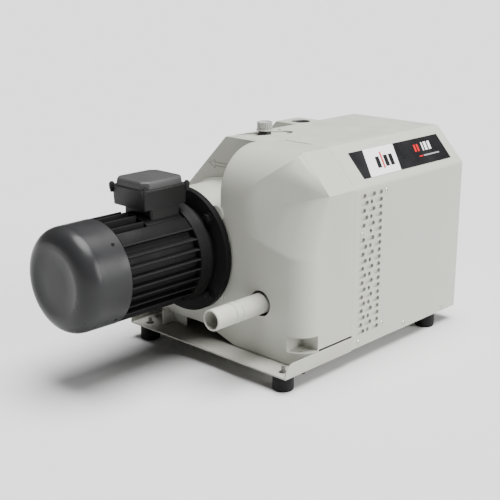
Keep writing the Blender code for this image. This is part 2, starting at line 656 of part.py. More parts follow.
# ---------------------------------------------------------------- exhaust side
x_lathe("exhaust_pipe",
        [(PIPE_END_X, 17.4), (PIPE_END_X, 19.4), (PIPE_END_X + 1.0, PIPE_R), (-27.0, PIPE_R), (-26.0, 19.3),
         (-23.0, 19.3), (-22.0, 20.5), (-6.0, 20.5), (-5.0, 19.3), (-2.0, 19.3), (-1.0, PIPE_R),
         (262.0, PIPE_R), (262.0, 17.4)], PIPE_Y, PIPE_Z, MOULDING, 24)
x_lathe("exhaust_silencer",
        [(SILENCER_X[0], 20.4), (SILENCER_X[0], SILENCER_R), (SILENCER_X[1], SILENCER_R),
         (SILENCER_X[1], 12.0), (SILENCER_X[1] - 3, 12.0), (SILENCER_X[1] - 3, SILENCER_R - 3),
         (SILENCER_X[0] + 3, SILENCER_R - 3), (SILENCER_X[0] + 3, 20.4)], PIPE_Y, PIPE_Z, IRON, 24)
DUCT_X = 330.0
DUCT_Z = 172.0
duct = lathe_shape([(-66.0, 17.0), (-66.0, 20.0), (12.0, 20.0), (12.0, 17.0)],
                   point(DUCT_X, 0.0, DUCT_Z), ALONG_Y, 16)
exhaust_duct = finish("exhaust_duct", duct, IRON)
cut(exhaust_duct, x_lathe("silencer_clearance", [(280.0, 0.0), (280.0, SILENCER_R + GAP),
                                                  (380.0, SILENCER_R + GAP), (380.0, 0.0)],
                          PIPE_Y, PIPE_Z, None, 24))

# ---------------------------------------------------------------- pump
CORE_R = 30.0              # well inside the bore, which is cut through afterwards
cylinder_profile = [(PUMP_X[0], CORE_R), (PUMP_X[0], PUMP_R)]
rib_x = PUMP_X[0] + 18.0
while rib_x < PUMP_X[1] - 40.0:
    cylinder_profile += [(rib_x, PUMP_R), (rib_x, PUMP_R - 7.0), (rib_x + 56.0, PUMP_R - 7.0),
                         (rib_x + 56.0, PUMP_R)]
    rib_x += 74.0
cylinder_profile += [(PUMP_X[1], PUMP_R), (PUMP_X[1], CORE_R)]
pump_cylinder = x_lathe("pump_cylinder", cylinder_profile, AXIS_Y, AXIS_Z, IRON, 24)
cut(pump_cylinder, x_lathe("bore_cutter", [(PUMP_X[0] - 8, 0.0), (PUMP_X[0] - 8, BORE_R),
                                           (PUMP_X[1] + 8, BORE_R), (PUMP_X[1] + 8, 0.0)],
                           AXIS_Y, AXIS_Z + BORE_LIFT, None, 32))
pump_clearance = x_lathe("pump_clearance", [(PUMP_X[0] + 1, 0.0), (PUMP_X[0] + 1, PUMP_R + GAP),
                                            (PUMP_X[1] - 1, PUMP_R + GAP), (PUMP_X[1] - 1, 0.0)],
                         AXIS_Y, AXIS_Z, None, 24)
cut(valve_housing, pump_clearance)
cut(exhaust_duct, pump_clearance)

SHAFT_R = 16.0
SEAT_R = 36.3
REAR_PLATE_END = PUMP_X[1] + 16.0
shaft_lathe("pump_front_plate",
            [(160.3, SEAT_R), (160.3, 104.0), (PUMP_X[0] - GAP, 104.0), (PUMP_X[0] - GAP, 19.0),
             (175.5, 19.0), (175.5, SEAT_R)], IRON)
shaft_lathe("pump_rear_plate",
            [(PUMP_X[1] + GAP, 19.0), (PUMP_X[1] + GAP, 104.0), (REAR_PLATE_END, 104.0),
             (REAR_PLATE_END, SEAT_R), (PUMP_X[1] + 3.0, SEAT_R), (PUMP_X[1] + 3.0, 19.0)], IRON)
shaft_lathe("pump_end_cap", [(REAR_PLATE_END + GAP, 0.0), (REAR_PLATE_END + GAP, 52.0),
                             (REAR_PLATE_END + 7.0, 52.0), (REAR_PLATE_END + 7.0, 0.0)], IRON)
shaft_lathe("pump_bearing_front", [(161.6, SHAFT_R + GAP), (161.6, 36.0), (175.2, 36.0),
                                   (175.2, SHAFT_R + GAP)], STEEL)
shaft_lathe("pump_bearing_rear", [(PUMP_X[1] + 3.3, SHAFT_R + GAP), (PUMP_X[1] + 3.3, 36.0),
                                  (REAR_PLATE_END - GAP, 36.0), (REAR_PLATE_END - GAP, SHAFT_R + GAP)],
            STEEL)

pump_rotor = shaft_lathe("pump_rotor",
                         [(110.0, 0.0), (110.0, SHAFT_R), (PUMP_X[0] + 0.5, SHAFT_R),
                          (PUMP_X[0] + 0.5, ROTOR_R), (PUMP_X[1] - 0.5, ROTOR_R), (PUMP_X[1] - 0.5, SHAFT_R),
                          (REAR_PLATE_END - 2.0, SHAFT_R), (REAR_PLATE_END - 2.0, 0.0)], STEEL, 32)
VANE_HALF = 2.5
VANE_ROOT = 26.0
VANE_TIP = 56.8
vane_slots = bmesh.new()
for index in range(VANES):
    spin = Matrix.Translation(SHAFT_ORIGIN) @ Matrix.Rotation(2.0 * math.pi * index / VANES, 4, "X") \
        @ Matrix.Translation(-SHAFT_ORIGIN)
    slot = box_shape((PUMP_X[0] - 4, PUMP_X[1] + 4), (AXIS_Y - VANE_HALF - GAP, AXIS_Y + VANE_HALF + GAP),
                     (AXIS_Z + VANE_ROOT - 1.0, AXIS_Z + ROTOR_R + 4.0))
    bmesh.ops.transform(slot, matrix=spin, verts=slot.verts)
    slot_mesh = bpy.data.meshes.new("slot")
    slot.to_mesh(slot_mesh)
    slot.free()
    vane_slots.from_mesh(slot_mesh)
    vane = box_shape((PUMP_X[0] + 0.8, PUMP_X[1] - 0.8), (AXIS_Y - VANE_HALF, AXIS_Y + VANE_HALF),
                     (AXIS_Z + VANE_ROOT, AXIS_Z + VANE_TIP))
    bmesh.ops.transform(vane, matrix=spin, verts=vane.verts)
    finish("vane_%d" % (index + 1), vane, GRAPHITE, origin=SHAFT_ORIGIN)
cut(pump_rotor, finish("vane_slot_cutter", vane_slots, None))

for mount_name, mount_x in (("pump_mount_front", 206.0), ("pump_mount_rear", 336.0)):
    mount = finish(mount_name, box_shape((mount_x, mount_x + 26.0), (AXIS_Y - 58.0, AXIS_Y + 58.0),
                                         (TRAY_TOP + GAP, 150.0)), PAINT)
    cut(mount, pump_clearance)

# ---------------------------------------------------------------- lantern and coupling
lantern = shaft_lathe("lantern",
                      [(44.5, 90.4), (44.5, LANTERN_R), (139.0, LANTERN_R), (141.0, LANTERN_R + 6.5),
                       (RECESS_X - 0.8, LANTERN_R + 6.5), (RECESS_X - 0.8, LANTERN_R),
                       (LANTERN_END, LANTERN_R), (LANTERN_END, 88.0), (152.0, 88.0), (152.0, 108.0),
                       (49.5, 108.0), (49.5, 90.4)], MOULDING, 36)
bolt_spots = []
for quarter in range(4):
    angle = math.radians(45.0 + 90.0 * quarter)
    bolt_spots.append((AXIS_Y + BOLT_CIRCLE_R * math.cos(angle), AXIS_Z + BOLT_CIRCLE_R * math.sin(angle)))
bosses = bmesh.new()
for bolt_y, bolt_z in bolt_spots:
    lathe_shape([(44.5, 0.0), (44.5, 20.0), (58.0, 20.0), (62.0, 15.0), (62.0, 0.0)],
                point(0.0, bolt_y, bolt_z), ALONG_X, 16, bosses)
join(lantern, finish("lantern_boss_tool", bosses, None))
cut(lantern, shaft_lathe("spigot_room", [(38.0, 0.0), (38.0, 90.1), (50.5, 90.1), (50.5, 0.0)], None, 36))

COUPLING_R = 40.0
shaft_lathe("coupling_motor_half", [(70.0, 14.3), (70.0, 26.0), (82.0, 26.0), (82.0, COUPLING_R),
                                    (96.0, COUPLING_R), (96.0, 14.3)], IRON)
star = []
for tooth in range(6):
    for part, radius in ((0.0, 38.0), (0.5, 38.0), (0.55, 28.0), (0.95, 28.0)):
        angle = 2.0 * math.pi * (tooth + part) / 6
        star.append(point(96.3, AXIS_Y + radius * math.cos(angle), AXIS_Z + radius * math.sin(angle)))
finish("coupling_spider", prism_shape(star, Vector((mm(11.4), 0.0, 0.0))), POLYURETHANE,
       origin=SHAFT_ORIGIN)
shaft_lathe("coupling_pump_half", [(108.0, 16.3), (108.0, COUPLING_R), (122.0, COUPLING_R), (122.0, 28.0),
                                   (136.0, 28.0), (136.0, 16.3)], IRON)

# ---------------------------------------------------------------- motor
motor_flange = shaft_lathe("motor_flange",
                           [(FRAME_X[1] + GAP, 80.5), (FRAME_X[1] + GAP, 99.0), (14.0, 102.6), (21.0, 92.0),
                            (FLANGE_X[0], 92.0), (FLANGE_X[0], FLANGE_R - 1.0), (FLANGE_X[0] + 1, FLANGE_R),
                            (FLANGE_X[1] - 1.0, FLANGE_R), (FLANGE_X[1], FLANGE_R - 1.0),
                            (FLANGE_X[1], 89.7), (48.0, 89.7), (48.0, 62.0), (36.0, 62.0), (28.0, 42.0),
                            (28.0, 18.0), (22.5, 18.0), (22.5, 31.3), (8.0, 31.3), (8.0, 42.0),
                            (18.0, 62.0), (16.0, 80.5)], BLACK_CAST, 36)
bolt_holes = bmesh.new()
for index, (bolt_y, bolt_z) in enumerate(bolt_spots):
    lathe_shape([(20.0, 0.0), (20.0, 7.2), (50.0, 7.2), (50.0, 0.0)], point(0.0, bolt_y, bolt_z), ALONG_X,
                12, bolt_holes)
    head = bmesh.new()
    bmesh.ops.create_cone(head, cap_ends=True, segments=6, radius1=mm(12.0), radius2=mm(12.0),
                          depth=mm(8.0), matrix=Matrix.Translation(point(FLANGE_X[0] - GAP - 4.0, bolt_y,
                                                                         bolt_z))
                          @ Matrix.Rotation(math.pi / 2.0, 4, "Y"))
    bolt = finish("flange_bolt_%d" % (index + 1), head, DARK_STEEL)
    join(bolt, x_lathe("bolt_shank_tool_%d" % (index + 1),
                       [(FLANGE_X[0] - 6.0, 0.0), (FLANGE_X[0] - 6.0, 6.0), (58.0, 6.0), (58.0, 0.0)],
                       bolt_y, bolt_z, None, 12))
bolt_cutter = finish("bolt_hole_cutter", bolt_holes, None)
cut(motor_flange, bolt_cutter)
thread_holes = bmesh.new()
for bolt_y, bolt_z in bolt_spots:
    lathe_shape([(40.0, 0.0), (40.0, 6.4), (59.0, 6.4), (59.0, 0.0)], point(0.0, bolt_y, bolt_z), ALONG_X,
                12, thread_holes)
cut(lantern, finish("thread_hole_cutter", thread_holes, None))

# Finned frame: level fins on the sides, upright ones below and beside the terminal box.
frame = shaft_lathe("stator_frame", [(FRAME_X[0], 80.0), (FRAME_X[0], FRAME_R), (FRAME_X[1], FRAME_R),
                                     (FRAME_X[1], 80.0)], BLACK_CAST, 36)
fins = bmesh.new()
for step in range(8):
    offset = FIN_TOP - step * FIN_PITCH
    reach = math.sqrt(FIN_R ** 2 - (abs(offset) + FIN_THICK / 2) ** 2)
    root = math.sqrt(max(FRAME_R ** 2 - (abs(offset) + FIN_THICK / 2) ** 2, 0.0)) - 3.0
    for side in (-1.0, 1.0):
        ends = sorted((AXIS_Y + side * root, AXIS_Y + side * reach))
        box_shape(FRAME_X, ends, (AXIS_Z + offset - FIN_THICK / 2, AXIS_Z + offset + FIN_THICK / 2), fins)
for step in range(-2, 3):
    offset = step * UPRIGHT_PITCH
    reach = math.sqrt(FIN_R ** 2 - (abs(offset) + FIN_THICK / 2) ** 2)
    root = math.sqrt(FRAME_R ** 2 - (abs(offset) + FIN_THICK / 2) ** 2) - 3.0
    across = (AXIS_Y + offset - FIN_THICK / 2, AXIS_Y + offset + FIN_THICK / 2)
    box_shape(FRAME_X, across, (AXIS_Z - reach, AXIS_Z - root), fins)
    box_shape((FRAME_X[0], BOX_X[0] - 6.0), across, (AXIS_Z + root, AXIS_Z + reach), fins)
join(frame, finish("fin_tool", fins, None))
# Smooth pads above the level fins, on both sides.
PAD_R = 97.0
for pad, pad_from in (("near", 123.0), ("far", 41.0)):
    pad_outline = arc(AXIS_Y, AXIS_Z, PAD_R, pad_from, pad_from + 16.0, 3)
    pad_outline += arc(AXIS_Y, AXIS_Z, FRAME_R - 3.0, pad_from + 16.0, pad_from, 3)
    join(frame, finish("pad_tool_" + pad, along_x(pad_outline, FRAME_X[0] + 0.5, FRAME_X[1] - 0.5), None))

shaft_lathe("stator_core", [(-151.7, 54.3), (-151.7, 79.3), (-38.3, 79.3), (-38.3, 54.3)], IRON)
shaft_lathe("stator_winding", [(-168.0, 51.0), (-168.0, 72.0), (-152.0, 74.0), (-152.0, 54.0), (-38.0, 54.0),
                               (-38.0, 74.0), (-22.0, 72.0), (-22.0, 51.0)], COPPER)
shaft_lathe("motor_rotor", [(-151.7, 14.3), (-151.7, 50.2), (-38.3, 50.2), (-38.3, 14.3)], IRON)
shaft_lathe("motor_shaft", [(-258.0, 0.0), (-258.0, 9.0), (-190.0, 9.0), (-190.0, 14.0), (94.0, 14.0),
                            (94.0, 0.0)], STEEL, 24)
shaft_lathe("motor_bearing_front", [(8.3, 14.3), (8.3, 31.0), (22.2, 31.0), (22.2, 14.3)], STEEL)
shaft_lathe("motor_bearing_rear", [(-188.7, 14.3), (-188.7, 28.0), (-176.0, 28.0), (-176.0, 14.3)], STEEL)
shaft_lathe("rear_endshield", [(-192.0, 16.0), (-192.0, 40.0), (-186.0, 94.0), (FRAME_X[0] - GAP, 94.0),
                               (FRAME_X[0] - GAP, 80.0), (-174.0, 28.3), (-189.0, 28.3),
                               (-189.0, 16.0)], BLACK_CAST, 32)

motor_fan = shaft_lathe("motor_fan", [(-246.0, 9.3), (-246.0, 24.0), (-204.0, 24.0), (-204.0, 78.0),
                                      (-200.0, 78.0), (-200.0, 9.3)], PLASTIC, 24)
blades = bmesh.new()
for index in range(8):
    spin = Matrix.Translation(SHAFT_ORIGIN) @ Matrix.Rotation(2.0 * math.pi * index / 8, 4, "X") \
        @ Matrix.Translation(-SHAFT_ORIGIN)
    blade = box_shape((-240.0, -202.0), (AXIS_Y - 1.5, AXIS_Y + 1.5), (AXIS_Z + 21.0, AXIS_Z + 82.0))
    bmesh.ops.transform(blade, matrix=spin, verts=blade.verts)
    blade_mesh = bpy.data.meshes.new("blade")
    blade.to_mesh(blade_mesh)
    blade.free()
    blades.from_mesh(blade_mesh)
join(motor_fan, finish("blade_tool", blades, None))

# Deep-drawn fan hood with a soft shoulder and a slightly stepped end.
HOOD_R = 99.0
SHOULDER_R = 28.0
SHOULDER_CENTRE = (HOOD_END_X + SHOULDER_R, HOOD_R - 1.5 - SHOULDER_R)
hood_profile = [(HOOD_END_X + 4.2, 0.0), (HOOD_END_X + 4.2, 61.0), (HOOD_END_X + 2.0, 65.0)]
hood_profile += arc(*SHOULDER_CENTRE, SHOULDER_R - 2.0, 180.0, 90.0, 4)
hood_profile += [(HOOD_RIM_X, HOOD_R - 2.0), (HOOD_RIM_X, HOOD_R)]
hood_profile += arc(*SHOULDER_CENTRE, SHOULDER_R, 90.0, 180.0, 4)
hood_profile += [(HOOD_END_X, 64.0), (HOOD_END_X + 2.2, 60.0), (HOOD_END_X + 2.2, 0.0)]
shaft_lathe("fan_hood", hood_profile, DARK_STEEL, 36)

# ---------------------------------------------------------------- terminal box
terminal_box = finish("terminal_box", box_shape(BOX_X, BOX_Y, BOX_Z), BLACK_CAST)
PEDESTAL_X = (-90.0, FRAME_X[1] - GAP)
PEDESTAL_Y = (50.0, 126.0)
join(terminal_box, finish("pedestal_tool", box_shape(PEDESTAL_X, PEDESTAL_Y, (270.0, 322.0)), None))
cut(terminal_box, finish("box_inside", box_shape((BOX_X[0] + 4, BOX_X[1] - 4), (BOX_Y[0] + 4, BOX_Y[1] - 4),
                                                 (BOX_Z[0] + 4.0, BOX_Z[1] + 5.0)), None))
cut(terminal_box, x_lathe("frame_clearance", [(PEDESTAL_X[0] - 20, 0.0), (PEDESTAL_X[0] - 20, FRAME_R + GAP),
                                              (PEDESTAL_X[1] + 9.0, FRAME_R + GAP),
                                              (PEDESTAL_X[1] + 9.0, 0.0)], AXIS_Y, AXIS_Z, None, 36))
GLAND_Z = 337.0
gland_room = lathe_shape([(120.0, 0.0), (120.0, 10.0), (140.0, 10.0), (140.0, 0.0)],
                         point(BOX_CENTRE[0], 0.0, GLAND_Z), ALONG_Y, 16)
cut(terminal_box, finish("gland_room", gland_room, None))
gland = lathe_shape([(126.0, 6.0), (126.0, 9.7), (133.3, 9.7), (133.3, 13.0), (142.0, 13.0), (142.0, 11.0),
                     (152.0, 9.5), (152.0, 6.0)], point(BOX_CENTRE[0], 0.0, GLAND_Z), ALONG_Y, 16)
finish("cable_gland", gland, PLASTIC)
finish("terminal_block", box_shape((-72.0, -24.0), (72.0, 104.0), (BOX_Z[0] + 4.3, 336.0)), PLASTIC)

lid_low = BOX_Z[1] + GAP
LID_CHAMFER = 15.0         # leaves the box's screwed corners free
lid_levels = ((lid_low, 0.5), (LID_TOP - 3.0, 1.5), (LID_TOP, 4.0))
lid_shape = bmesh.new()
rings = []
for level, inset in lid_levels:
    x0, x1 = BOX_X[0] + inset, BOX_X[1] - inset
    y0, y1 = BOX_Y[0] + inset, BOX_Y[1] - inset
    c = LID_CHAMFER
    ring = [(x0 + c, y0), (x1 - c, y0), (x1, y0 + c), (x1, y1 - c), (x1 - c, y1), (x0 + c, y1),
            (x0, y1 - c), (x0, y0 + c)]
    rings.append([lid_shape.verts.new(point(x, y, level)) for x, y in ring])
for lower, upper in zip(rings, rings[1:]):
    for index in range(8):
        after = (index + 1) % 8
        lid_shape.faces.new((lower[index], lower[after], upper[after], upper[index]))
lid_shape.faces.new(rings[0])
lid_shape.faces.new(rings[-1])
finish("terminal_lid", lid_shape, LID_GREY)
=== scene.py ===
import json
import math

import bmesh
import bpy
from mathutils import Matrix, Vector


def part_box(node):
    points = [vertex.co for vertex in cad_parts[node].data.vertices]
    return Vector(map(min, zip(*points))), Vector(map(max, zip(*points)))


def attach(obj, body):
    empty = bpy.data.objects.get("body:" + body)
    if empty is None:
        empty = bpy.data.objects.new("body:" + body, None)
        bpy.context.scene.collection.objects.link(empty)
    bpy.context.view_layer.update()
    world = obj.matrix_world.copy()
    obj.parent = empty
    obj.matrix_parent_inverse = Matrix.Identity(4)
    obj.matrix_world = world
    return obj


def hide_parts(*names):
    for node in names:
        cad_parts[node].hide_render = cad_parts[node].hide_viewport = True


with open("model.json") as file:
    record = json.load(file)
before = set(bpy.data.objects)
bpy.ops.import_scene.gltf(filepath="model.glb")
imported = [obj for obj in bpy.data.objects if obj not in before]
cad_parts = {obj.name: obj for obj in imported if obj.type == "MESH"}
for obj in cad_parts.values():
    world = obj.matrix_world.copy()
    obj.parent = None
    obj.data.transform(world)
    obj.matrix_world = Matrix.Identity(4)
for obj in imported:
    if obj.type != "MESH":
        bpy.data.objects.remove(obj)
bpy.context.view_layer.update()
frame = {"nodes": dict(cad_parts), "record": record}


nodes = frame["nodes"]

# Drawing frame: millimetres from the tray's front edge, y from the tray's middle, z from the floor.
tray_low, tray_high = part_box("base_tray")
ORIGIN_X = tray_low.x
TRAY_HALF = tray_high.y * 1000.0
X_AXIS = Vector((1.0, 0.0, 0.0))
Y_AXIS = Vector((0.0, 1.0, 0.0))
Z_AXIS = Vector((0.0, 0.0, 1.0))


def mm(value):
    """Millimetres as metres."""
    return value * 0.001


def at(x, y, z):
    """A point of the drawing frame in world metres."""
    return Vector((ORIGIN_X + mm(x), mm(y), mm(z)))


# The shaft line runs through the middle of the motor flange.
flange_low, flange_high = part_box("motor_flange")
AXIS_Y = (flange_low.y + flange_high.y) * 500.0
AXIS_Z = (flange_low.z + flange_high.z) * 500.0
SHAFT = at(0.0, AXIS_Y, AXIS_Z)


# ---------------------------------------------------------------- materials
def material(name, colour, roughness, metallic=0.0, grain=350.0, bump=0.12, tint=0.05, spread=0.08,
             specular=0.5, edge_highlight=None, edge_highlight_colour=(0.45, 0.45, 0.44)):
    """Painted, moulded or bare surface: cloudy tint, uneven gloss, fine grain and, on request, a painted
    highlight that lightens sharp edges.
    """
    made = bpy.data.materials.new(name)
    made.use_nodes = True
    tree = made.node_tree
    shader = tree.nodes["Principled BSDF"]
    shader.inputs["Metallic"].default_value = metallic
    shader.inputs["Specular IOR Level"].default_value = specular
    place = tree.nodes.new("ShaderNodeTexCoord")

    def noise(scale, detail):
        made_noise = tree.nodes.new("ShaderNodeTexNoise")
        made_noise.inputs["Scale"].default_value = scale
        made_noise.inputs["Detail"].default_value = detail
        tree.links.new(place.outputs["Object"], made_noise.inputs["Vector"])
        return made_noise.outputs["Fac"]

    def ramp(source, low, high, dark, light):
        made_ramp = tree.nodes.new("ShaderNodeValToRGB")
        made_ramp.color_ramp.elements[0].position = low
        made_ramp.color_ramp.elements[1].position = high
        made_ramp.color_ramp.elements[0].color = dark
        made_ramp.color_ramp.elements[1].color = light
        tree.links.new(source, made_ramp.inputs["Fac"])
        return made_ramp.outputs["Color"]

    shades = [tuple(min(channel * (1.0 + sign * tint), 1.0) for channel in colour) + (1.0,)
              for sign in (-1.0, 1.0)]
    tone = ramp(noise(7.0, 5.0), 0.3, 0.7, *shades)
    if edge_highlight:
        # Painted highlight: sharp edges, found by pointiness, are mixed towards a lighter colour as if they
        # caught the light.
        shape = tree.nodes.new("ShaderNodeNewGeometry")
        edges = ramp(shape.outputs["Pointiness"], 0.53, 0.6, (0, 0, 0, 1), (edge_highlight, edge_highlight, edge_highlight, 1))
        mixed = tree.nodes.new("ShaderNodeMix")
        mixed.data_type = "RGBA"
        tree.links.new(edges, mixed.inputs["Factor"])
        tree.links.new(tone, mixed.inputs["A"])
        mixed.inputs["B"].default_value = (*edge_highlight_colour, 1.0)
        tone = mixed.outputs["Result"]
    tree.links.new(tone, shader.inputs["Base Color"])
    gloss = ramp(noise(22.0, 6.0), 0.3, 0.7, *[(value, value, value, 1.0) for value in
                                               (max(roughness - spread, 0.05), min(roughness + spread, 1.0))])
    tree.links.new(gloss, shader.inputs["Roughness"])
    relief = tree.nodes.new("ShaderNodeBump")
    relief.inputs["Strength"].default_value = bump
    relief.inputs["Distance"].default_value = 0.0006
    tree.links.new(noise(grain, 3.0), relief.inputs["Height"])
    tree.links.new(relief.outputs["Normal"], shader.inputs["Normal"])
    return made


COVER = material("cover_powder_coat", (0.45, 0.453, 0.408), 0.42, specular=0.25, bump=0.10,
                 tint=0.015, grain=700.0)
COWL = material("cowl_moulding", (0.445, 0.448, 0.40), 0.38, specular=0.25, bump=0.08, tint=0.02,
                grain=900.0)
TRAY = material("tray_powder_coat", (0.42, 0.42, 0.375), 0.45, specular=0.25, bump=0.12, tint=0.03,
                grain=700.0)
PIPE = material("stub_paint", (0.44, 0.44, 0.395), 0.4, specular=0.3, bump=0.10, tint=0.03, grain=600.0)
CAP = material("cap_moulding", (0.42, 0.42, 0.4), 0.5, bump=0.15, tint=0.05)
# Both black paints carry a painted highlight on their sharp edges.
BLACK = material("motor_black_paint", (0.007, 0.007, 0.007), 0.45, specular=0.07, bump=0.35,
                 tint=0.15, grain=450.0, edge_highlight=0.2, edge_highlight_colour=(0.04, 0.04, 0.04))
FLANGE_BLACK = material("flange_black_paint", (0.010, 0.010, 0.010), 0.5, specular=0.05, bump=0.25,
                        tint=0.15,
                        grain=500.0, edge_highlight=0.2, edge_highlight_colour=(0.04, 0.04, 0.04))
HOOD = material("fan_hood_paint", (0.022, 0.022, 0.023), 0.34, specular=0.22, bump=0.08, tint=0.05,
                grain=800.0)
LID = material("terminal_lid_moulding", (0.055, 0.055, 0.055), 0.45, specular=0.25, bump=0.2,
               tint=0.06, grain=600.0)
BOX = material("terminal_box_moulding", (0.017, 0.017, 0.017), 0.45, specular=0.2, bump=0.25,
               tint=0.1, grain=600.0)
RUBBER = material("foot_rubber", (0.012, 0.012, 0.012), 0.6, specular=0.12, bump=0.3, tint=0.2,
                  grain=500.0)
STEEL = material("machined_steel", (0.50, 0.51, 0.52), 0.32, metallic=1.0, bump=0.15, tint=0.06)
ZINC = material("zinc_plating", (0.60, 0.60, 0.57), 0.36, metallic=1.0, bump=0.2, tint=0.08)
IRON = material("bare_cast_iron", (0.16, 0.165, 0.17), 0.6, metallic=0.7, bump=0.6, tint=0.15,
                grain=260.0)
COPPER = material("enamelled_copper", (0.60, 0.25, 0.10), 0.35, metallic=1.0, bump=0.5, tint=0.15)
GRAPHITE = material("graphite", (0.05, 0.05, 0.055), 0.55, bump=0.2, tint=0.15)
PLASTIC = material("black_plastic", (0.018, 0.018, 0.018), 0.45, bump=0.25, tint=0.1)
POLYURETHANE = material("spider_polyurethane", (0.42, 0.04, 0.03), 0.45, bump=0.2, tint=0.1)
LABEL_BLACK = material("label_black_print", (0.010, 0.010, 0.011), 0.3, bump=0.04, tint=0.1)
LABEL_WHITE = material("label_white_print", (0.86, 0.86, 0.86), 0.32, bump=0.04, tint=0.02)
LABEL_RED = material("label_red_print", (0.55, 0.012, 0.012), 0.32, bump=0.04, tint=0.05)
LABEL_GREY = material("label_grey_print", (0.30, 0.30, 0.30), 0.32, bump=0.04, tint=0.05)

SLOT_LOOKS = {
    "cover_paint": COVER, "cowl_moulding": COWL, "tray_paint": TRAY, "motor_black": BLACK,
    "hood_dark": HOOD, "box_lid": LID, "rubber": RUBBER, "steel": STEEL, "zinc": ZINC, "iron": IRON,
    "copper": COPPER, "graphite": GRAPHITE, "black_plastic": PLASTIC, "label": LABEL_BLACK,
    "spider": POLYURETHANE, "cap_grey": CAP, "pipe_grey": PIPE,
}
for part in frame["record"]["subparts"]:
    mesh = nodes[part["node"]].data
    mesh.materials.clear()
    mesh.materials.append(SLOT_LOOKS[part["material_slot"]])
    mesh.shade_smooth()
    mesh.set_sharp_from_angle(angle=math.radians(30.0))


# ---------------------------------------------------------------- modelling helpers
def to_object(name, shape):
    """A bmesh in world metres as an object of its own."""
    bmesh.ops.recalc_face_normals(shape, faces=shape.faces)
    mesh = bpy.data.meshes.new(name)
    shape.to_mesh(mesh)
    shape.free()
    made = bpy.data.objects.new(name, mesh)
    bpy.context.scene.collection.objects.link(made)
    return made


def bake(made):
    """Replace a mesh by what its modifiers make of it."""
    bpy.context.view_layer.update()
    before = made.data
    after = bpy.data.meshes.new_from_object(made.evaluated_get(bpy.context.evaluated_depsgraph_get()))
    made.modifiers.clear()
    made.data = after
    bpy.data.meshes.remove(before)
    return made


def soft_edges(made, width, segments=3, angle=28.0):
    """Round every edge sharper than `angle`."""
    step = made.modifiers.new("soft", "BEVEL")
    step.width = mm(width)
    step.segments = segments
    step.limit_method = "ANGLE"
    step.angle_limit = math.radians(angle)
    step.use_clamp_overlap = True
    return bake(made)


def combine(made, tool, operation):
    """Boolean with a tool that is used up."""
    step = made.modifiers.new("combine", "BOOLEAN")
    step.operation = operation
    step.solver = "EXACT"
    step.object = tool
    bake(made)
    bpy.data.objects.remove(tool, do_unlink=True)
    return made


def cut(made, tool):
    return combine(made, tool, "DIFFERENCE")


def join(made, tool):
    return combine(made, tool, "UNION")


def dress(made, look, body="housing", replaces=(), smooth=30.0):
    """Material, shading and body of a finished piece; hides the CAD parts it replaces."""
    made.data.materials.clear()
    made.data.materials.append(look)
    made.data.shade_smooth()
    made.data.set_sharp_from_angle(angle=math.radians(smooth))
    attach(made, body)
    if replaces:
        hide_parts(*replaces)
    return made


def block(x_range, y_range, z_range):
    """Upright box between two limits along each axis of the drawing frame."""
    shape = bmesh.new()
    low = at(x_range[0], y_range[0], z_range[0])
    high = at(x_range[1], y_range[1], z_range[1])
    place = Matrix.Translation((low + high) / 2.0) @ Matrix.Diagonal((*(high - low), 1.0))
    bmesh.ops.create_cube(shape, size=1.0, matrix=place)
    return shape


def prism(outline, direction):
    """Extrude a flat outline of world points along `direction`."""
    shape = bmesh.new()
    face = shape.faces.new([shape.verts.new(corner) for corner in outline])
    grown = bmesh.ops.extrude_face_region(shape, geom=[face])
    moved = [item for item in grown["geom"] if isinstance(item, bmesh.types.BMVert)]
    bmesh.ops.translate(shape, verts=moved, vec=direction)
    return shape


def along_x(outline, x_from, x_to):
    """Extrude an outline of y and z along the shaft."""
    return prism([at(x_from, y, z) for y, z in outline], X_AXIS * mm(x_to - x_from))


def lathe(profile, centre, axis, segments=96, shape=None):
    """Spin a (distance along axis, radius) outline about an axis line through `centre`."""
    shape = shape or bmesh.new()
    side = Z_AXIS if abs(axis.x) > 0.5 else X_AXIS
    points = [shape.verts.new(centre + axis * mm(a) + side * mm(r)) for a, r in profile]
    edges = [shape.edges.new(pair) for pair in zip(points, points[1:])]
    if profile[0][1] > 0.0 or profile[-1][1] > 0.0:
        edges.append(shape.edges.new((points[-1], points[0])))
    bmesh.ops.spin(shape, geom=points + edges, angle=2.0 * math.pi, steps=segments, use_merge=True,
                   axis=axis, cent=centre)
    bmesh.ops.remove_doubles(shape, verts=shape.verts, dist=1e-7)
    return shape


def soften(outline, radius, steps=4, closed=False):
    """Round the corners of an outline of 2D points; an open one keeps its first and last points."""
    count = len(outline)
    picked = range(count) if closed else range(1, count - 1)
    rounded = [] if closed else [outline[0]]
    for index in picked:
        middle = Vector(outline[index])
        arriving = Vector(outline[index - 1]) - middle
        leaving = Vector(outline[(index + 1) % count]) - middle
        half = arriving.angle(leaving) / 2.0
        if half > math.radians(88.0):
            rounded.append(outline[index])
            continue
        reach = min(radius / math.tan(half), 0.45 * arriving.length, 0.45 * leaving.length)
        first = middle + arriving.normalized() * reach
        last = middle + leaving.normalized() * reach
        for step in range(steps + 1):
            share = step / steps
            rounded.append(tuple(first * (1 - share) ** 2 + middle * 2 * share * (1 - share)
                                 + last * share ** 2))
    return rounded if closed else rounded + [outline[-1]]


def arc(centre_a, centre_b, radius, start, end, steps):
    """Points on a circle between two angles in degrees."""
    points = []
    for step in range(steps + 1):
        angle = math.radians(start + (end - start) * step / steps)
        points.append((centre_a + radius * math.cos(angle), centre_b + radius * math.sin(angle)))
    return points


def turned(name, profile, look, replaces, radius=1.2, segments=96, centre=None, axis=X_AXIS,
           body="housing"):
    """A turned piece with rounded corners."""
    centre = SHAFT if centre is None else centre
    on_axis = profile[0][1] == 0.0 and profile[-1][1] == 0.0
    rounded = soften(profile, radius, 3, closed=not on_axis)
    made = to_object(name, lathe(rounded, centre, axis, segments))
    return dress(made, look, body, replaces)


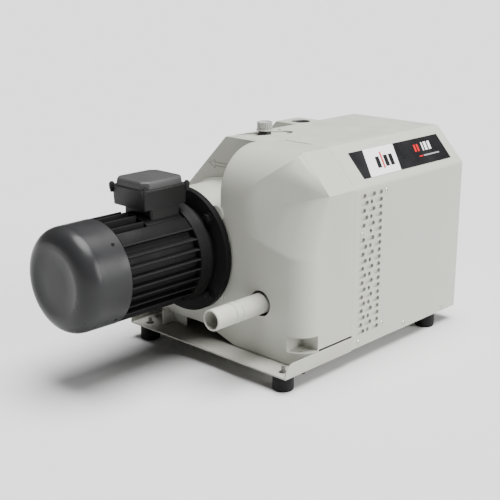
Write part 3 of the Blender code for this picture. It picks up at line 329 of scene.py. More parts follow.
# ---------------------------------------------------------------- rear cover
SIDE_Y = 213.0              # outer face of the cover's sides
COVER_BACK = 563.6
COVER_TOP = 420.4
COVER_FOOT = 30.5
SHOULDER_Z = 349.2
TOP_NEAR_Y = -146.3
TOP_FAR_Y = 78.5
SHEET = 2.0
SEAM_X = 194.7              # joint between cowl and cover
TONGUE_X = 159.0            # the cover reaches further forward beyond TONGUE_Y
TONGUE_Y = -38.0
GAP = 0.9
BAND_X = (356.9, 432.8)
BAND_TOP_Y = 134.8
slope = Vector((0.0, SHOULDER_Z - COVER_TOP, SIDE_Y + TOP_NEAR_Y)).normalized()
SLOPE_LEVEL = slope.y * TOP_NEAR_Y + slope.z * COVER_TOP


def cover_outline(inset, foot, radius):
    """Section of the cover, drawn in by `inset`: walls, label slope, top and far slope."""
    near = -SIDE_Y + inset
    far = SIDE_Y - inset
    top = COVER_TOP - inset
    near_level = SLOPE_LEVEL - inset
    far_level = TOP_FAR_Y + COVER_TOP - inset * math.sqrt(2.0)
    sharp = [(near, foot), (near, (near_level - slope.y * near) / slope.z),
             ((near_level - slope.z * top) / slope.y, top), (far_level - top, top),
             (far, far_level - far), (far, foot)]
    return soften(sharp, radius, 4) if radius else sharp


def band_outline(inset, foot, radius):
    """Section of the cover's raised band round the suction port."""
    top = COVER_TOP + 0.15 - inset
    far = SIDE_Y - 0.3 - inset
    level = BAND_TOP_Y + COVER_TOP - inset * math.sqrt(2.0)
    sharp = [(60.0, foot), (60.0, top), (level - top, top), (far, level - far), (far, foot)]
    return [sharp[0]] + soften(sharp[1:], radius, 4) if radius else sharp


def loft_x(stations):
    """Join outlines of equal point counts: (x, outline of y and z)."""
    shape = bmesh.new()
    rings = [[shape.verts.new(at(x, y, z)) for y, z in outline] for x, outline in stations]
    for first, second in zip(rings, rings[1:]):
        for index in range(len(first)):
            after = (index + 1) % len(first)
            shape.faces.new((first[index], first[after], second[after], second[index]))
    shape.faces.new(rings[0])
    shape.faces.new(rings[-1])
    return shape


def rounded_end(x_end, radius, outline, turn, steps=5):
    """Stations that roll an outline over into an end face; `turn` is +1 towards +x, -1 towards -x."""
    rolled = []
    for step in range(steps + 1):
        angle = math.radians(90.0 * step / steps)
        rolled.append((x_end - turn * radius * (1.0 - math.sin(angle)),
                       outline(radius * (1.0 - math.cos(angle)))))
    return rolled


cover_stations = [(TONGUE_X - 25.0, cover_outline(0.0, 10.0, 12.0))]
cover_stations += rounded_end(COVER_BACK, 8.0, lambda inset: cover_outline(inset, 10.0 + inset, 12.0), 1.0)
cover = to_object("cover_shell", loft_x(cover_stations))
band_ends = rounded_end(BAND_X[0], 2.5, lambda inset: band_outline(inset, 200.0, 6.0), -1.0, 3)[::-1]
band_ends += rounded_end(BAND_X[1], 2.5, lambda inset: band_outline(inset, 200.0, 6.0), 1.0, 3)
join(cover, to_object("band_tool", loft_x(band_ends)))
inside = to_object("cover_inside", along_x(cover_outline(SHEET, 0.0, 0.0), TONGUE_X - 40.0,
                                           COVER_BACK - SHEET))
join(inside, to_object("band_inside", along_x(band_outline(SHEET + 0.4, 190.0, 0.0), BAND_X[0] + SHEET,
                                              BAND_X[1] - SHEET)))
cut(cover, inside)
for name, x_range, y_range, z_range in (
        ("front_trim", (TONGUE_X - 60.0, TONGUE_X), (-240.0, 240.0), (-5.0, 450.0)),
        ("foot_trim", (TONGUE_X - 30.0, COVER_BACK + 9.0), (-245.0, 245.0), (-10.0, COVER_FOOT)),
        ("seam_trim", (TONGUE_X - 35.0, SEAM_X - 0.1), (-250.0, TONGUE_Y + GAP), (-15.0, 460.0)),
        ("top_seam", (TONGUE_X - 36.0, SEAM_X + 3.0), (-101.0, TONGUE_Y + GAP + 0.3), (300.0, 470.0))):
    cut(cover, to_object(name, block(x_range, y_range, z_range)))

# Pressed louvres: each slot sinks into the sheet and is deepest at its rounded right end.
LOUVRE_ROWS = 20
LOUVRE_PITCH = 14.35
LOUVRE_TOP_Z = 332.8
LOUVRE_HALF = 5.2
LOUVRE_SHALLOW = 1.4
LOUVRE_DEEP = 5.0
ODD_COLUMNS = [(211.0, 235.3), (240.3, 249.1), (256.0, 279.8)]
EVEN_COLUMNS = [(211.0, 227.7), (232.6, 257.0), (264.9, 279.0)]
SCREW_ROW = 5               # a screw takes the place of this row's first louvre
louvre_levels = (LOUVRE_TOP_Z - LOUVRE_ROWS * LOUVRE_PITCH, LOUVRE_TOP_Z + 12.0)
join(cover, to_object("louvre_backing", block((204.0, 291.0), (-SIDE_Y + 1.0, -SIDE_Y + 7.0), louvre_levels)))
wedges = bmesh.new()
for row in range(LOUVRE_ROWS):
    middle = LOUVRE_TOP_Z - row * LOUVRE_PITCH
    columns = ODD_COLUMNS if row % 2 else EVEN_COLUMNS
    if row == SCREW_ROW:
        columns = columns[1:]
    for left, right in columns:
        nose_x = right - LOUVRE_HALF * 0.8
        round_nose = arc(nose_x, middle, LOUVRE_HALF, -90.0, 90.0, 10)
        nose = [(nose_x + (x - nose_x) * 0.8, z) for x, z in round_nose]
        plan = [(left, middle + LOUVRE_HALF * 0.85), (left, middle - LOUVRE_HALF * 0.85)] + nose
        outer = [wedges.verts.new(at(x, -SIDE_Y - 2.0, z)) for x, z in plan]
        inner = []
        for x, z in plan:
            share = (x - left) / (right - left)
            sunk = LOUVRE_SHALLOW + (LOUVRE_DEEP - LOUVRE_SHALLOW) * share
            inner.append(wedges.verts.new(at(x, -SIDE_Y + sunk, middle + (z - middle) * 0.8)))
        wedges.faces.new(outer)
        wedges.faces.new(inner)
        for index in range(len(plan)):
            after = (index + 1) % len(plan)
            wedges.faces.new((outer[index], outer[after], inner[after], inner[index]))
cut(cover, to_object("louvre_wedges", wedges))

# Top of the cover: long pocket with the screw cap, latch slot, sight hole and suction port.
PORT_AT = (390.5, 93.2)
PORT_R = 21.0
CAP_AT = (225.0, 46.0)
CAP_POCKET_ENDS = (Vector((185.0, 63.0)), Vector((262.0, 27.0)))


def stadium(half_width, low, high):
    """Upright block with round ends along the pocket round the cap."""
    start, end = CAP_POCKET_ENDS
    heading = math.degrees(math.atan2(end.y - start.y, end.x - start.x))
    outline = arc(end.x, end.y, half_width, heading - 90.0, heading + 90.0, 16)
    outline += arc(start.x, start.y, half_width, heading + 90.0, heading + 270.0, 16)
    return prism([at(x, y, low) for x, y in outline], Z_AXIS * mm(high - low))


join(cover, to_object("pocket_floor", stadium(20.5, 413.5, 419.2)))
cut(cover, to_object("cap_pocket", stadium(18.0, 417.2, 425.0)))
cut(cover, to_object("latch_slot", prism([at(x, y, 410.0) for x, y in
                                          ((266.0, 12.0), (286.0, 22.0), (272.0, 31.0))], Z_AXIS * mm(15.0))))
cut(cover, to_object("sight_hole", lathe([(410.0, 0.0), (410.0, 4.2), (425.0, 4.2), (425.0, 0.0)],
                                         at(278.0, 54.0, 0.0), Z_AXIS, 32)))
cut(cover, to_object("port_hole", lathe([(400.0, 0.0), (400.0, PORT_R), (425.0, PORT_R), (425.0, 0.0)],
                                        at(*PORT_AT, 0.0), Z_AXIS, 64)))
cut(cover, to_object("cap_hole", lathe([(405.0, 0.0), (405.0, 14.0), (425.0, 14.0), (425.0, 0.0)],
                                       at(*CAP_AT, 0.0), Z_AXIS, 48)))
dress(cover, COVER, replaces=["rear_cover"], smooth=24.0)


# ---------------------------------------------------------------- front cowl
WALL = 4.0
FRONT_X = 49.0
RECESS_X = 146.7
BULGE_Y = -2.0
ROUND_R = 90.0
PEAK_X = 118.0
CORNER_R = 42.0
CORNER_TOP_Z = 238.0
CREASE_WALL_Z = 282.0
SAIL_Y = -97.0              # the flat sail towards the peak starts here
SAIL_LEAN = 9.5
CREASE_CORNER_Z = 242.6
SHELF_TOP = 118.0
ARCH_Z = 60.0


def cowl_body(inset, back, foot, left, cheek, fine):
    """Forward part of the cowl: rounded over the top at its left, faceted towards the near corner."""
    front = FRONT_X + inset
    near = -SIDE_Y + inset
    top = COVER_TOP - inset
    radius = ROUND_R - inset
    centre_x = front + radius
    level = SLOPE_LEVEL - inset
    shoulder_y = (level - slope.z * top) / slope.y
    peak_z = (level - slope.y * near) / slope.z
    peak_x = PEAK_X + inset
    corner_r = CORNER_R - inset
    corner_y = near + corner_r
    arc_rows = 12 if fine else 4
    sail_rows = 5 if fine else 1
    turn_steps = 16 if fine else 6

    def crease(y):
        """Height where the upright front begins under the sail."""
        share = (BULGE_Y - y) / (BULGE_Y + SIDE_Y - CORNER_R)
        return CREASE_WALL_Z + (CREASE_CORNER_Z - CREASE_WALL_Z) * share - inset


    def rim(y):
        """Point where the rounded top ends and the sail towards the near corner's peak begins."""
        turn = math.radians(16.0 + 46.0 * max((y - shoulder_y) / (SAIL_Y - shoulder_y), 0.0) ** 0.55)
        if y <= shoulder_y:
            return peak_x, top
        return centre_x - radius * math.sin(turn), top - radius + radius * math.cos(turn)

    def drawn_in(target, target_y, y):
        """Point at `y` on the straight line from the peak to a point of the rim."""
        share = (y - near) / (target_y - near)
        return peak_x + (target[0] - peak_x) * share, peak_z + (target[1] - peak_z) * share

    keel = (front + SAIL_LEAN, 318.0)

    def sail(start_y, y):
        """Rows of the flat fold between the rounded top and the crease."""
        rows = []
        for step in range(1, sail_rows + 1):
            target_y = start_y + (SAIL_Y - start_y) * step / sail_rows
            rows.append(drawn_in(rim(target_y), target_y, y))
        return rows + [drawn_in(keel, SAIL_Y, y)]

    def pointed(y):
        """Rows of a column that has no rounded part left."""
        rows = []
        for step in range(arc_rows + 1):
            target_y = shoulder_y + 0.6 * step / arc_rows
            rows.append(drawn_in(rim(target_y) if step else (peak_x, top), target_y, y))
        return rows + sail(shoulder_y + 0.6, y)

    def column(y, trim=0.0):
        """Points of the cowl's front from top to foot at one y, set back by `trim`."""
        if y <= shoulder_y:
            rows = pointed(y)
        else:
            settled = min(max((-20.0 - y) / (-20.0 - SAIL_Y), 0.0), 1.0) ** 2
            arc_r = radius - trim
            swept = math.radians(90.0 - 28.0 * settled)
            if y < SAIL_Y:
                swept = math.asin((centre_x - rim(y)[0]) / radius)
            rows = []
            for step in range(arc_rows + 1):
                turn = swept * step / arc_rows
                rows.append((centre_x - arc_r * math.sin(turn), top - radius + arc_r * math.cos(turn)))
            if y < SAIL_Y:
                rows += sail(y, y)
            else:
                edge_x, edge_z = rows[-1]
                foot_x = front + trim + SAIL_LEAN * min(max((-60.0 - y) / (-60.0 - SAIL_Y), 0.0), 1.0) ** 2
                foot_z = 306.0 + 12.0 * settled
                for step in range(1, sail_rows + 2):
                    share = step / (sail_rows + 1)
                    rows.append((edge_x + (foot_x - edge_x) * share, edge_z + (foot_z - edge_z) * share))
        ridge = crease(y)
        rows += [(front + trim, ridge), (front + trim, foot)]
        if fine:
            above = (Vector(rows[-3]) - Vector(rows[-2])).normalized()
            rows[-2:] = [tuple(Vector(rows[-2]) + above * 4.0), (front + trim + above.x * 0.8, ridge - 0.6),
                         (front + trim, ridge - 4.0), (front + trim, foot)]
        return [at(x, y, z) for x, z in rows]

    cheek_steps = 4 if fine else 1
    cheek_line = []
    for step in range(cheek_steps + 1):
        turn = math.radians(90.0 * step / cheek_steps)
        cheek_line.append((left - cheek * (1.0 - math.cos(turn)), cheek * (1.0 - math.sin(turn))))
    if fine:
        front_line = [-20.0, -35.0, -50.0, -60.0, -66.0, -72.0, -78.0, -84.0, -90.0, SAIL_Y, -102.0, -107.0,
                      -113.0, -119.0, -124.0, -129.0, -133.0, -136.5, -139.5, -142.0, -144.0, shoulder_y]
    else:
        front_line = [-58.0, -104.0, shoulder_y]
    grid = [column(y, trim) for y, trim in cheek_line] + [column(y) for y in front_line + [corner_y]]
    rows_count = len(grid[0])

    shape = bmesh.new()
    mesh_grid = [[shape.verts.new(corner) for corner in rows] for rows in grid]
    for first, second in zip(mesh_grid, mesh_grid[1:]):
        for row in range(rows_count - 1):
            shape.faces.new((first[row], first[row + 1], second[row + 1], second[row]))
    tip = shape.verts.new(at(peak_x, near, peak_z))
    end = mesh_grid[-1]
    crown = rows_count - (4 if fine else 2)
    for row in range(crown):
        shape.faces.new((end[row], end[row + 1], tip))
    bend_rows = [end[crown:]]
    for step in range(1, turn_steps + 1):
        turn = math.radians(90.0 * step / turn_steps)
        x = front + corner_r - corner_r * math.cos(turn)
        y = corner_y - corner_r * math.sin(turn)
        ridge_z = CREASE_CORNER_Z - inset + (CORNER_TOP_Z - CREASE_CORNER_Z) * step / turn_steps
        if fine:
            towards = Vector((peak_x - x, near - y, peak_z - ridge_z)).normalized() * 4.0
            heights = [(x + towards.x, y + towards.y, ridge_z + towards.z),
                       (x + towards.x * 0.2, y + towards.y * 0.2, ridge_z - 0.6), (x, y, ridge_z - 4.0),
                       (x, y, foot)]
        else:
            heights = [(x, y, ridge_z), (x, y, foot)]
        bend_rows.append([shape.verts.new(at(*corner)) for corner in heights])
    for first, second in zip(bend_rows, bend_rows[1:]):
        shape.faces.new((first[0], second[0], tip))
        for row in range(len(first) - 1):
            shape.faces.new((first[row], first[row + 1], second[row + 1], second[row]))
    back_near_foot = shape.verts.new(at(back, near, foot))
    back_near_top = shape.verts.new(at(back, near, peak_z))
    back_slope_top = shape.verts.new(at(back, shoulder_y, top))
    back_edge = [shape.verts.new(at(back, y, top - trim)) for y, trim in cheek_line]
    back_left_foot = shape.verts.new(at(back, left, foot))
    tops = [rows[0] for rows in mesh_grid]
    feet = [rows[-1] for rows in mesh_grid]
    shape.faces.new([tip] + bend_rows[-1] + [back_near_foot, back_near_top])
    shape.faces.new((tops[-2], tops[-1], tip, back_near_top, back_slope_top))
    shape.faces.new([back_edge[-1]] + tops[cheek_steps:-1] + [back_slope_top])
    for step in range(cheek_steps):
        shape.faces.new((tops[step], tops[step + 1], back_edge[step + 1], back_edge[step]))
    shape.faces.new(feet + [rows[-1] for rows in bend_rows[1:]] + [back_near_foot, back_left_foot])
    shape.faces.new(mesh_grid[0] + [back_left_foot, back_edge[0]])
    shape.faces.new([back_near_foot, back_near_top, back_slope_top] + back_edge[::-1] + [back_left_foot])
    return shape


def far_outline(inset, low_y, foot):
    """Section of the set-back panel over the lantern."""
    return [(low_y, foot), (low_y, COVER_TOP - inset), (TOP_FAR_Y - 0.4 * inset, COVER_TOP - inset),
            (SIDE_Y - inset, 285.9 - 0.4 * inset), (SIDE_Y - inset, foot)]


COWL_FOOT = 35.0
PANEL_BACK = TONGUE_X - GAP / 2
cowl = to_object("cowl_shell", cowl_body(0.0, SEAM_X - GAP / 2, COWL_FOOT, BULGE_Y, 3.0, True))
shelf = to_object("shelf_tool", block((FRONT_X, PANEL_BACK), (BULGE_Y - 12.0, SIDE_Y),
                                      (COWL_FOOT, SHELF_TOP)))
soft_edges(shelf, 3.0, 3, 50.0)
panel = to_object("panel_tool", along_x(soften(far_outline(0.0, BULGE_Y - 12.0, COWL_FOOT), 8.0), RECESS_X,
                                        PANEL_BACK))
join(cowl, shelf)
join(cowl, panel)
cut(cowl, to_object("cowl_inside", cowl_body(WALL, SEAM_X + 10.0, 20.0, BULGE_Y - WALL, 1.0, False)))
cut(cowl, to_object("panel_inside", along_x(far_outline(WALL, BULGE_Y + 4.0, 20.0), RECESS_X + WALL,
                                            PANEL_BACK + 10.0)))
cut(cowl, to_object("shelf_inside", block((FRONT_X + WALL, PANEL_BACK + 8.0), (BULGE_Y - 20.0, SIDE_Y - WALL),
                                          (18.0, SHELF_TOP - WALL))))
cut(cowl, to_object("tongue_room", block((PANEL_BACK, SEAM_X + 6.0), (TONGUE_Y, SIDE_Y + 5.0),
                                         (15.0, 440.0))))

# Fixing pocket low in the rounded corner, with a screw in its floor.
NICHE_X = 93.0
NICHE_Y = -174.0
NICHE_Z = (60.0, 90.0)
NICHE_SCREW = (67.0, -196.0)
liner_r = CORNER_R - 1.0
liner_near = -SIDE_Y + 1.0
liner = [(NICHE_X + WALL, liner_near)]
liner += arc(FRONT_X + 1.0 + liner_r, liner_near + liner_r, liner_r, 270.0, 180.0, 12)
liner += [(FRONT_X + 1.0, NICHE_Y + WALL), (NICHE_X + WALL, NICHE_Y + WALL)]
join(cowl, to_object("pocket_liner", prism([at(x, y, NICHE_Z[0] - WALL) for x, y in liner],
                                           Z_AXIS * mm(NICHE_Z[1] - NICHE_Z[0] + 2 * WALL))))
pocket = to_object("pocket_cutter", block((FRONT_X - 9.0, NICHE_X), (-SIDE_Y - 9.0, NICHE_Y), NICHE_Z))
soft_edges(pocket, 2.0, 2, 50.0)
cut(cowl, pocket)
cut(cowl, to_object("pocket_hole", lathe([(50.0, 0.0), (50.0, 2.5), (66.0, 2.5), (66.0, 0.0)],
                                         at(*NICHE_SCREW, 0.0), Z_AXIS, 24)))

# Turning arrow sunk into the panel: a groove round a raised plain arrow.
ARROW_Z = 360.5
ARROW_TIP_Y = 127.0


def arrow(tip_y, neck_y, tail_y, head, stem):
    """Outline of a plain arrow that points to +y: half widths of its head and its stem."""
    return [(tip_y, ARROW_Z), (neck_y, ARROW_Z + head), (neck_y, ARROW_Z + stem), (tail_y, ARROW_Z + stem),
            (tail_y, ARROW_Z - stem), (neck_y, ARROW_Z - stem), (neck_y, ARROW_Z - head)]


groove = arrow(ARROW_TIP_Y, ARROW_TIP_Y - 17.0, 66.0, 10.0, 3.9)
cut(cowl, to_object("arrow_cutter", along_x(groove, RECESS_X - 3.0, RECESS_X + 1.6)))
raised = arrow(ARROW_TIP_Y - 2.8, ARROW_TIP_Y - 15.8, 67.0, 7.6, 2.7)
join(cowl, to_object("arrow_plug", along_x(raised, RECESS_X, RECESS_X + 3.0)))

# Room for the lantern, the exhaust stub and the air gap under the motor.
LANTERN_R = 119.0
cut(cowl, to_object("lantern_room",
                    lathe([(30.0, 0.0), (30.0, LANTERN_R + 1.5), (138.0, LANTERN_R + 1.5),
                           (141.0, LANTERN_R + 8.0), (RECESS_X - 0.5, LANTERN_R + 8.0),
                           (RECESS_X - 0.5, LANTERN_R + 0.9), (TONGUE_X + 5.0, LANTERN_R + 0.9),
                           (TONGUE_X + 5.0, 0.0)], SHAFT, X_AXIS, 96)))
PIPE_Y = -105.0
PIPE_Z = 138.0
PIPE_R = 20.0
cut(cowl, to_object("pipe_room", lathe([(30.0, 0.0), (30.0, PIPE_R + 5.0), (70.0, PIPE_R + 5.0), (70.0, 0.0)],
                                       at(0.0, PIPE_Y - 1.8, PIPE_Z + 0.6), X_AXIS, 64)))
arch = [(-37.0, 25.0), (-37.0, COWL_FOOT + 0.5), (9.0, 50.0), (34.0, ARCH_Z), (SIDE_Y + 8.0, ARCH_Z),
        (SIDE_Y + 8.0, 25.0)]
cut(cowl, to_object("arch_cutter", along_x(arch, FRONT_X - 12.0, PANEL_BACK - 20.0)))
cut(cowl, to_object("lip_groove", block((96.5, SEAM_X + 3.0), (-SIDE_Y - 3.0, -SIDE_Y + 6.0), (33.0, 60.9))))
dress(cowl, COWL, replaces=["front_cowl"], smooth=23.0)


# ---------------------------------------------------------------- label with a plain generic mark
def on_slope(x, z, lift):
    """Point over the cover's label slope, `lift` above its surface."""
    return at(x, (SLOPE_LEVEL + lift - slope.z * z) / slope.y, z)


def label_patch(name, plan, low, high, look, replaces=()):
    patch = to_object(name, prism([on_slope(x, z, low) for x, z in plan], slope * mm(high - low)))
    return dress(patch, look, replaces=replaces)


LABEL_LOW = 361.6
LABEL_HIGH = 405.4
label_patch("label_film_left", [(234.0, LABEL_LOW + 0.2), (255.2, LABEL_LOW), (277.4, LABEL_HIGH),
                                (234.0, LABEL_HIGH)], 0.3, 0.9, LABEL_BLACK, ["label_plate"])
label_patch("label_film_middle", [(255.4, LABEL_LOW), (352.4, LABEL_LOW), (374.7, LABEL_HIGH),
                                  (277.6, LABEL_HIGH)], 0.3, 0.9, LABEL_WHITE)
label_patch("label_film_right", [(352.6, LABEL_LOW), (528.5, LABEL_LOW), (531.0, LABEL_HIGH),
                                 (374.9, LABEL_HIGH)], 0.3, 0.9, LABEL_BLACK)


def slanted(left, right, low, high):
    """Leaning bar that stands in for print."""
    lean = 0.45 * (high - low)
    return [(left, low), (right, low), (right + lean, high), (left + lean, high)]


for index, (left, right, low, high, look) in enumerate((
        (291.0, 303.0, 373.0, 391.0, LABEL_BLACK), (307.5, 312.5, 371.0, 397.0, LABEL_RED),
        (317.0, 329.0, 373.0, 391.0, LABEL_BLACK), (333.5, 345.5, 373.0, 391.0, LABEL_BLACK),
        (428.0, 434.0, 384.0, 396.0, LABEL_RED), (438.0, 444.0, 384.0, 396.0, LABEL_RED),
        (455.0, 459.0, 383.5, 397.5, LABEL_WHITE), (464.0, 472.0, 383.5, 397.5, LABEL_WHITE),
        (477.0, 485.0, 383.5, 397.5, LABEL_WHITE), (432.0, 444.0, 374.5, 376.6, LABEL_RED),
        (447.0, 502.0, 374.5, 376.6, LABEL_GREY))):
    label_patch("label_bar_%02d" % (index + 1), slanted(left, right, low, high), 0.9, 1.05, look)


# ---------------------------------------------------------------- screws
def screw(name, place, axis, radius=4.6, height=2.2, look=None):
    """Round-head screw with a cross recess; its head stands out along `axis`."""
    dome = [(0.0, 0.0), (0.0, radius), (height * 0.45, radius * 0.96), (height * 0.8, radius * 0.72),
            (height, radius * 0.42), (height, 0.0)]
    head = to_object(name, lathe(dome, place, axis, 24))
    reach = radius * 0.58
    half = radius * 0.16
    cross = []
    for quarter in range(4):
        along = Vector((math.cos(math.pi / 2 * quarter), math.sin(math.pi / 2 * quarter)))
        across = Vector((-along.y, along.x))
        cross += [along * reach - across * half, along * reach + across * half,
                  (along + across) * half]
    turn = Z_AXIS.rotation_difference(axis).to_matrix() @ Matrix.Rotation(math.radians(45.0), 3, "Z")
    seat = place + axis * mm(height * 0.35)
    cut(head, to_object(name + "_recess", prism([seat + turn @ Vector((mm(flat.x), mm(flat.y), 0.0))
                                                 for flat in cross], axis * mm(height))))
    return dress(head, look or ZINC)


near_spots = [(290.2, 333.9), (217.0, 260.1), (290.2, 62.1), (215.5, 42.0), (367.2, 42.0), (508.0, 42.0)]
back_spots = [(-150.0, 45.0), (0.0, 45.0), (150.0, 45.0), (-195.0, 200.0), (195.0, 200.0)]
for side, spots, outward in (("near", [at(x, -SIDE_Y, z) for x, z in near_spots], -Y_AXIS),
                             ("far", [at(x, SIDE_Y, 42.0) for x in (215.5, 367.2, 508.0)], Y_AXIS),
                             ("back", [at(COVER_BACK, y, z) for y, z in back_spots], X_AXIS)):
    for index, spot in enumerate(spots):
        screw("%s_screw_%d" % (side, index + 1), spot, outward)
screw("pocket_screw", at(*NICHE_SCREW, NICHE_Z[0]), Z_AXIS, 3.4, 1.6)

# ---------------------------------------------------------------- top: port and cap
turned("port_neck",
       [(366.0, 20.6), (366.0, 34.0), (371.0, 34.0), (371.0, 27.0), (417.4, 27.0), (417.4, 20.6)],
       IRON, ["suction_neck"], 0.8, 64, at(*PORT_AT, 0.0), Z_AXIS)
CAP_CENTRE = at(*CAP_AT, 0.0)
turned("cap_spout", [(398.0, 8.0), (398.0, 13.0), (424.6, 13.0), (424.6, 9.9), (433.4, 9.9), (433.4, 8.0)],
       PLASTIC, ["cap_neck"], 0.4, 48, CAP_CENTRE, Z_AXIS)
turned("cap_gasket", [(424.9, 10.3), (424.9, 14.0), (426.1, 14.0), (426.1, 10.3)], RUBBER,
       ["cap_washer"], 0.3, 48, CAP_CENTRE, Z_AXIS, "cap_ring")
CAP_FOOT = 426.4
CAP_TEETH = 22
knurl = []
for tooth in range(CAP_TEETH):
    for share, radius in ((0.0, 15.5), (0.42, 15.5), (0.52, 14.0), (0.9, 14.0)):
        angle = 2.0 * math.pi * (tooth + share) / CAP_TEETH
        knurl.append(at(CAP_AT[0] + radius * math.cos(angle), CAP_AT[1] + radius * math.sin(angle),
                        CAP_FOOT + 1.0))
knob = to_object("cap_knob", prism(knurl, Z_AXIS * mm(17.0)))
soft_edges(knob, 0.5, 2, 60.0)
join(knob, to_object("cap_collar", lathe(soften([(CAP_FOOT, 0.0), (CAP_FOOT, 17.3), (CAP_FOOT + 2.5, 17.3),
                                                 (CAP_FOOT + 2.5, 0.0)], 0.8, 3), CAP_CENTRE, Z_AXIS, 64)))
cut(knob, to_object("cap_room", lathe([(CAP_FOOT - 5.0, 0.0), (CAP_FOOT - 5.0, 10.4), (435.6, 10.4),
                                       (435.6, 0.0)], CAP_CENTRE, Z_AXIS, 48)))
cut(knob, to_object("cap_dish", lathe([(442.6, 0.0), (442.6, 12.4), (446.0, 12.8), (446.0, 0.0)], CAP_CENTRE,
                                      Z_AXIS, 64)))
dress(knob, CAP, "cap", ["screw_cap"])

# ---------------------------------------------------------------- exhaust stub
turned("discharge_stub",
       [(-78.0, 16.6), (-78.0, 19.3), (-76.6, 20.0), (-34.5, 20.0), (-32.5, 18.7), (-29.5, 18.7),
        (-27.5, 20.3), (-17.5, 20.3), (-15.5, 18.7), (-12.5, 18.7), (-10.5, 20.0), (262.0, 20.0),
        (262.0, 17.4), (-70.0, 17.4)],
       PIPE, ["exhaust_pipe"], 0.7, 64, at(0.0, PIPE_Y, PIPE_Z))

# ---------------------------------------------------------------- tray, feet, support
tray_plan = [(-TRAY_HALF, 30.0), (TRAY_HALF, 30.0), (TRAY_HALF, 58.0), (TRAY_HALF - 2.0, 58.0),
             (TRAY_HALF - 2.0, 33.0), (-TRAY_HALF + 2.0, 33.0), (-TRAY_HALF + 2.0, 58.0), (-TRAY_HALF, 58.0)]
tray = to_object("tray_sheet", along_x(soften(tray_plan, 0.8, 3, closed=True), 0.0, 514.0))
nose = arc(24.0, 34.0, 24.0, 180.0, 90.0, 14)
nose_cut = [(-5.0, nose[0][1])] + nose + [(24.0, 70.0), (-5.0, 70.0)]
cut(tray, to_object("tray_nose", prism([at(x, -TRAY_HALF - 5.0, z) for x, z in nose_cut],
                                       Y_AXIS * mm(2 * TRAY_HALF + 10.0))))
FOOT_SPOTS = {"front_near": (22.5, -190.0), "front_far": (22.5, 181.0), "rear_near": (480.5, -190.0),
              "rear_far": (480.5, 181.0)}
stud_holes = bmesh.new()
for spot, (x, y) in FOOT_SPOTS.items():
    lathe([(27.0, 0.0), (27.0, 8.5), (36.0, 8.5), (36.0, 0.0)], at(x, y, 0.0), Z_AXIS, 32, stud_holes)
cut(tray, to_object("stud_holes", stud_holes))
bay_y = SIDE_Y - SHEET - 0.3
cut(tray, to_object("bay_near", block((SEAM_X - 2.4, 520.0), (-TRAY_HALF - 7.0, -bay_y), (21.0, 67.0))))
cut(tray, to_object("bay_far", block((TONGUE_X - 0.5, 520.0), (bay_y, TRAY_HALF + 7.0), (21.0, 67.0))))
dress(tray, TRAY, replaces=["base_tray"])
turned("tray_bolt", [(24.5, 0.0), (24.5, 4.6), (29.8, 5.2), (29.8, 0.0)], BLACK, (), 0.6, 24,
       at(57.0, -207.5, 0.0), Z_AXIS)

for spot, (x, y) in FOOT_SPOTS.items():
    base = at(x, y, 0.0)
    turned("buffer_" + spot,
           [(0.0, 0.0), (0.0, 18.6), (2.0, 20.0), (27.4, 19.7), (29.7, 18.9), (29.7, 4.4), (16.0, 4.4),
            (16.0, 0.0)], RUBBER, ["foot_" + spot], 1.0, 48, base, Z_AXIS)
    pitch = 1.25
    thread = [(16.3, 0.0), (16.3, 3.9)]
    level = 30.0
    while level < 43.5:
        thread += [(level, 3.9), (level + pitch / 2, 3.45)]
        level += pitch
    thread += [(45.3, 3.0), (45.3, 0.0)]
    stud = to_object("bolt_" + spot, lathe(thread, base, Z_AXIS, 24))
    dress(stud, ZINC, replaces=["stud_" + spot])


folded = [(30.0, 150.5), (30.0, 148.0), (59.5, 148.0), (59.5, 109.0), (62.0, 109.0), (62.0, 150.5)]
bracket = to_object("lantern_bracket", prism([at(x, y, 33.3) for x, y in folded], Z_AXIS * mm(26.2)))
soft_edges(bracket, 0.5, 2, 50.0)
dress(bracket, TRAY, replaces=["support_guide"])
nose_plate = to_object("bracket_nose", block((30.0, 48.0), (148.0, 150.5), (59.5, 66.8)))
dress(nose_plate, TRAY)

# ---------------------------------------------------------------- lantern
turned("lantern_casting",
       [(44.5, 90.4), (44.5, LANTERN_R), (136.0, LANTERN_R), (140.5, LANTERN_R + 2.0),
        (143.0, LANTERN_R + 6.5), (RECESS_X - 0.8, LANTERN_R + 6.5), (RECESS_X - 0.8, LANTERN_R),
        (160.0, LANTERN_R), (160.0, 88.0), (152.0, 88.0), (152.0, 108.0), (49.5, 108.0), (49.5, 90.4)],
       COWL, ["lantern"], 1.5, 128)


def round_shaft(radius, quarter):
    """y and z of one of four spots between the axes, at `radius` from the shaft line."""
    angle = math.radians(45.0 + 90.0 * quarter)
    return AXIS_Y + radius * math.cos(angle), AXIS_Z + radius * math.sin(angle)


for quarter in range(4):
    turned("lantern_boss_%d" % (quarter + 1),
           [(44.9, 0.0), (44.9, 16.6), (60.0, 17.0), (62.0, 14.0), (62.0, 0.0)],
           COWL, (), 1.5, 48, at(0.0, *round_shaft(118.0, quarter)))

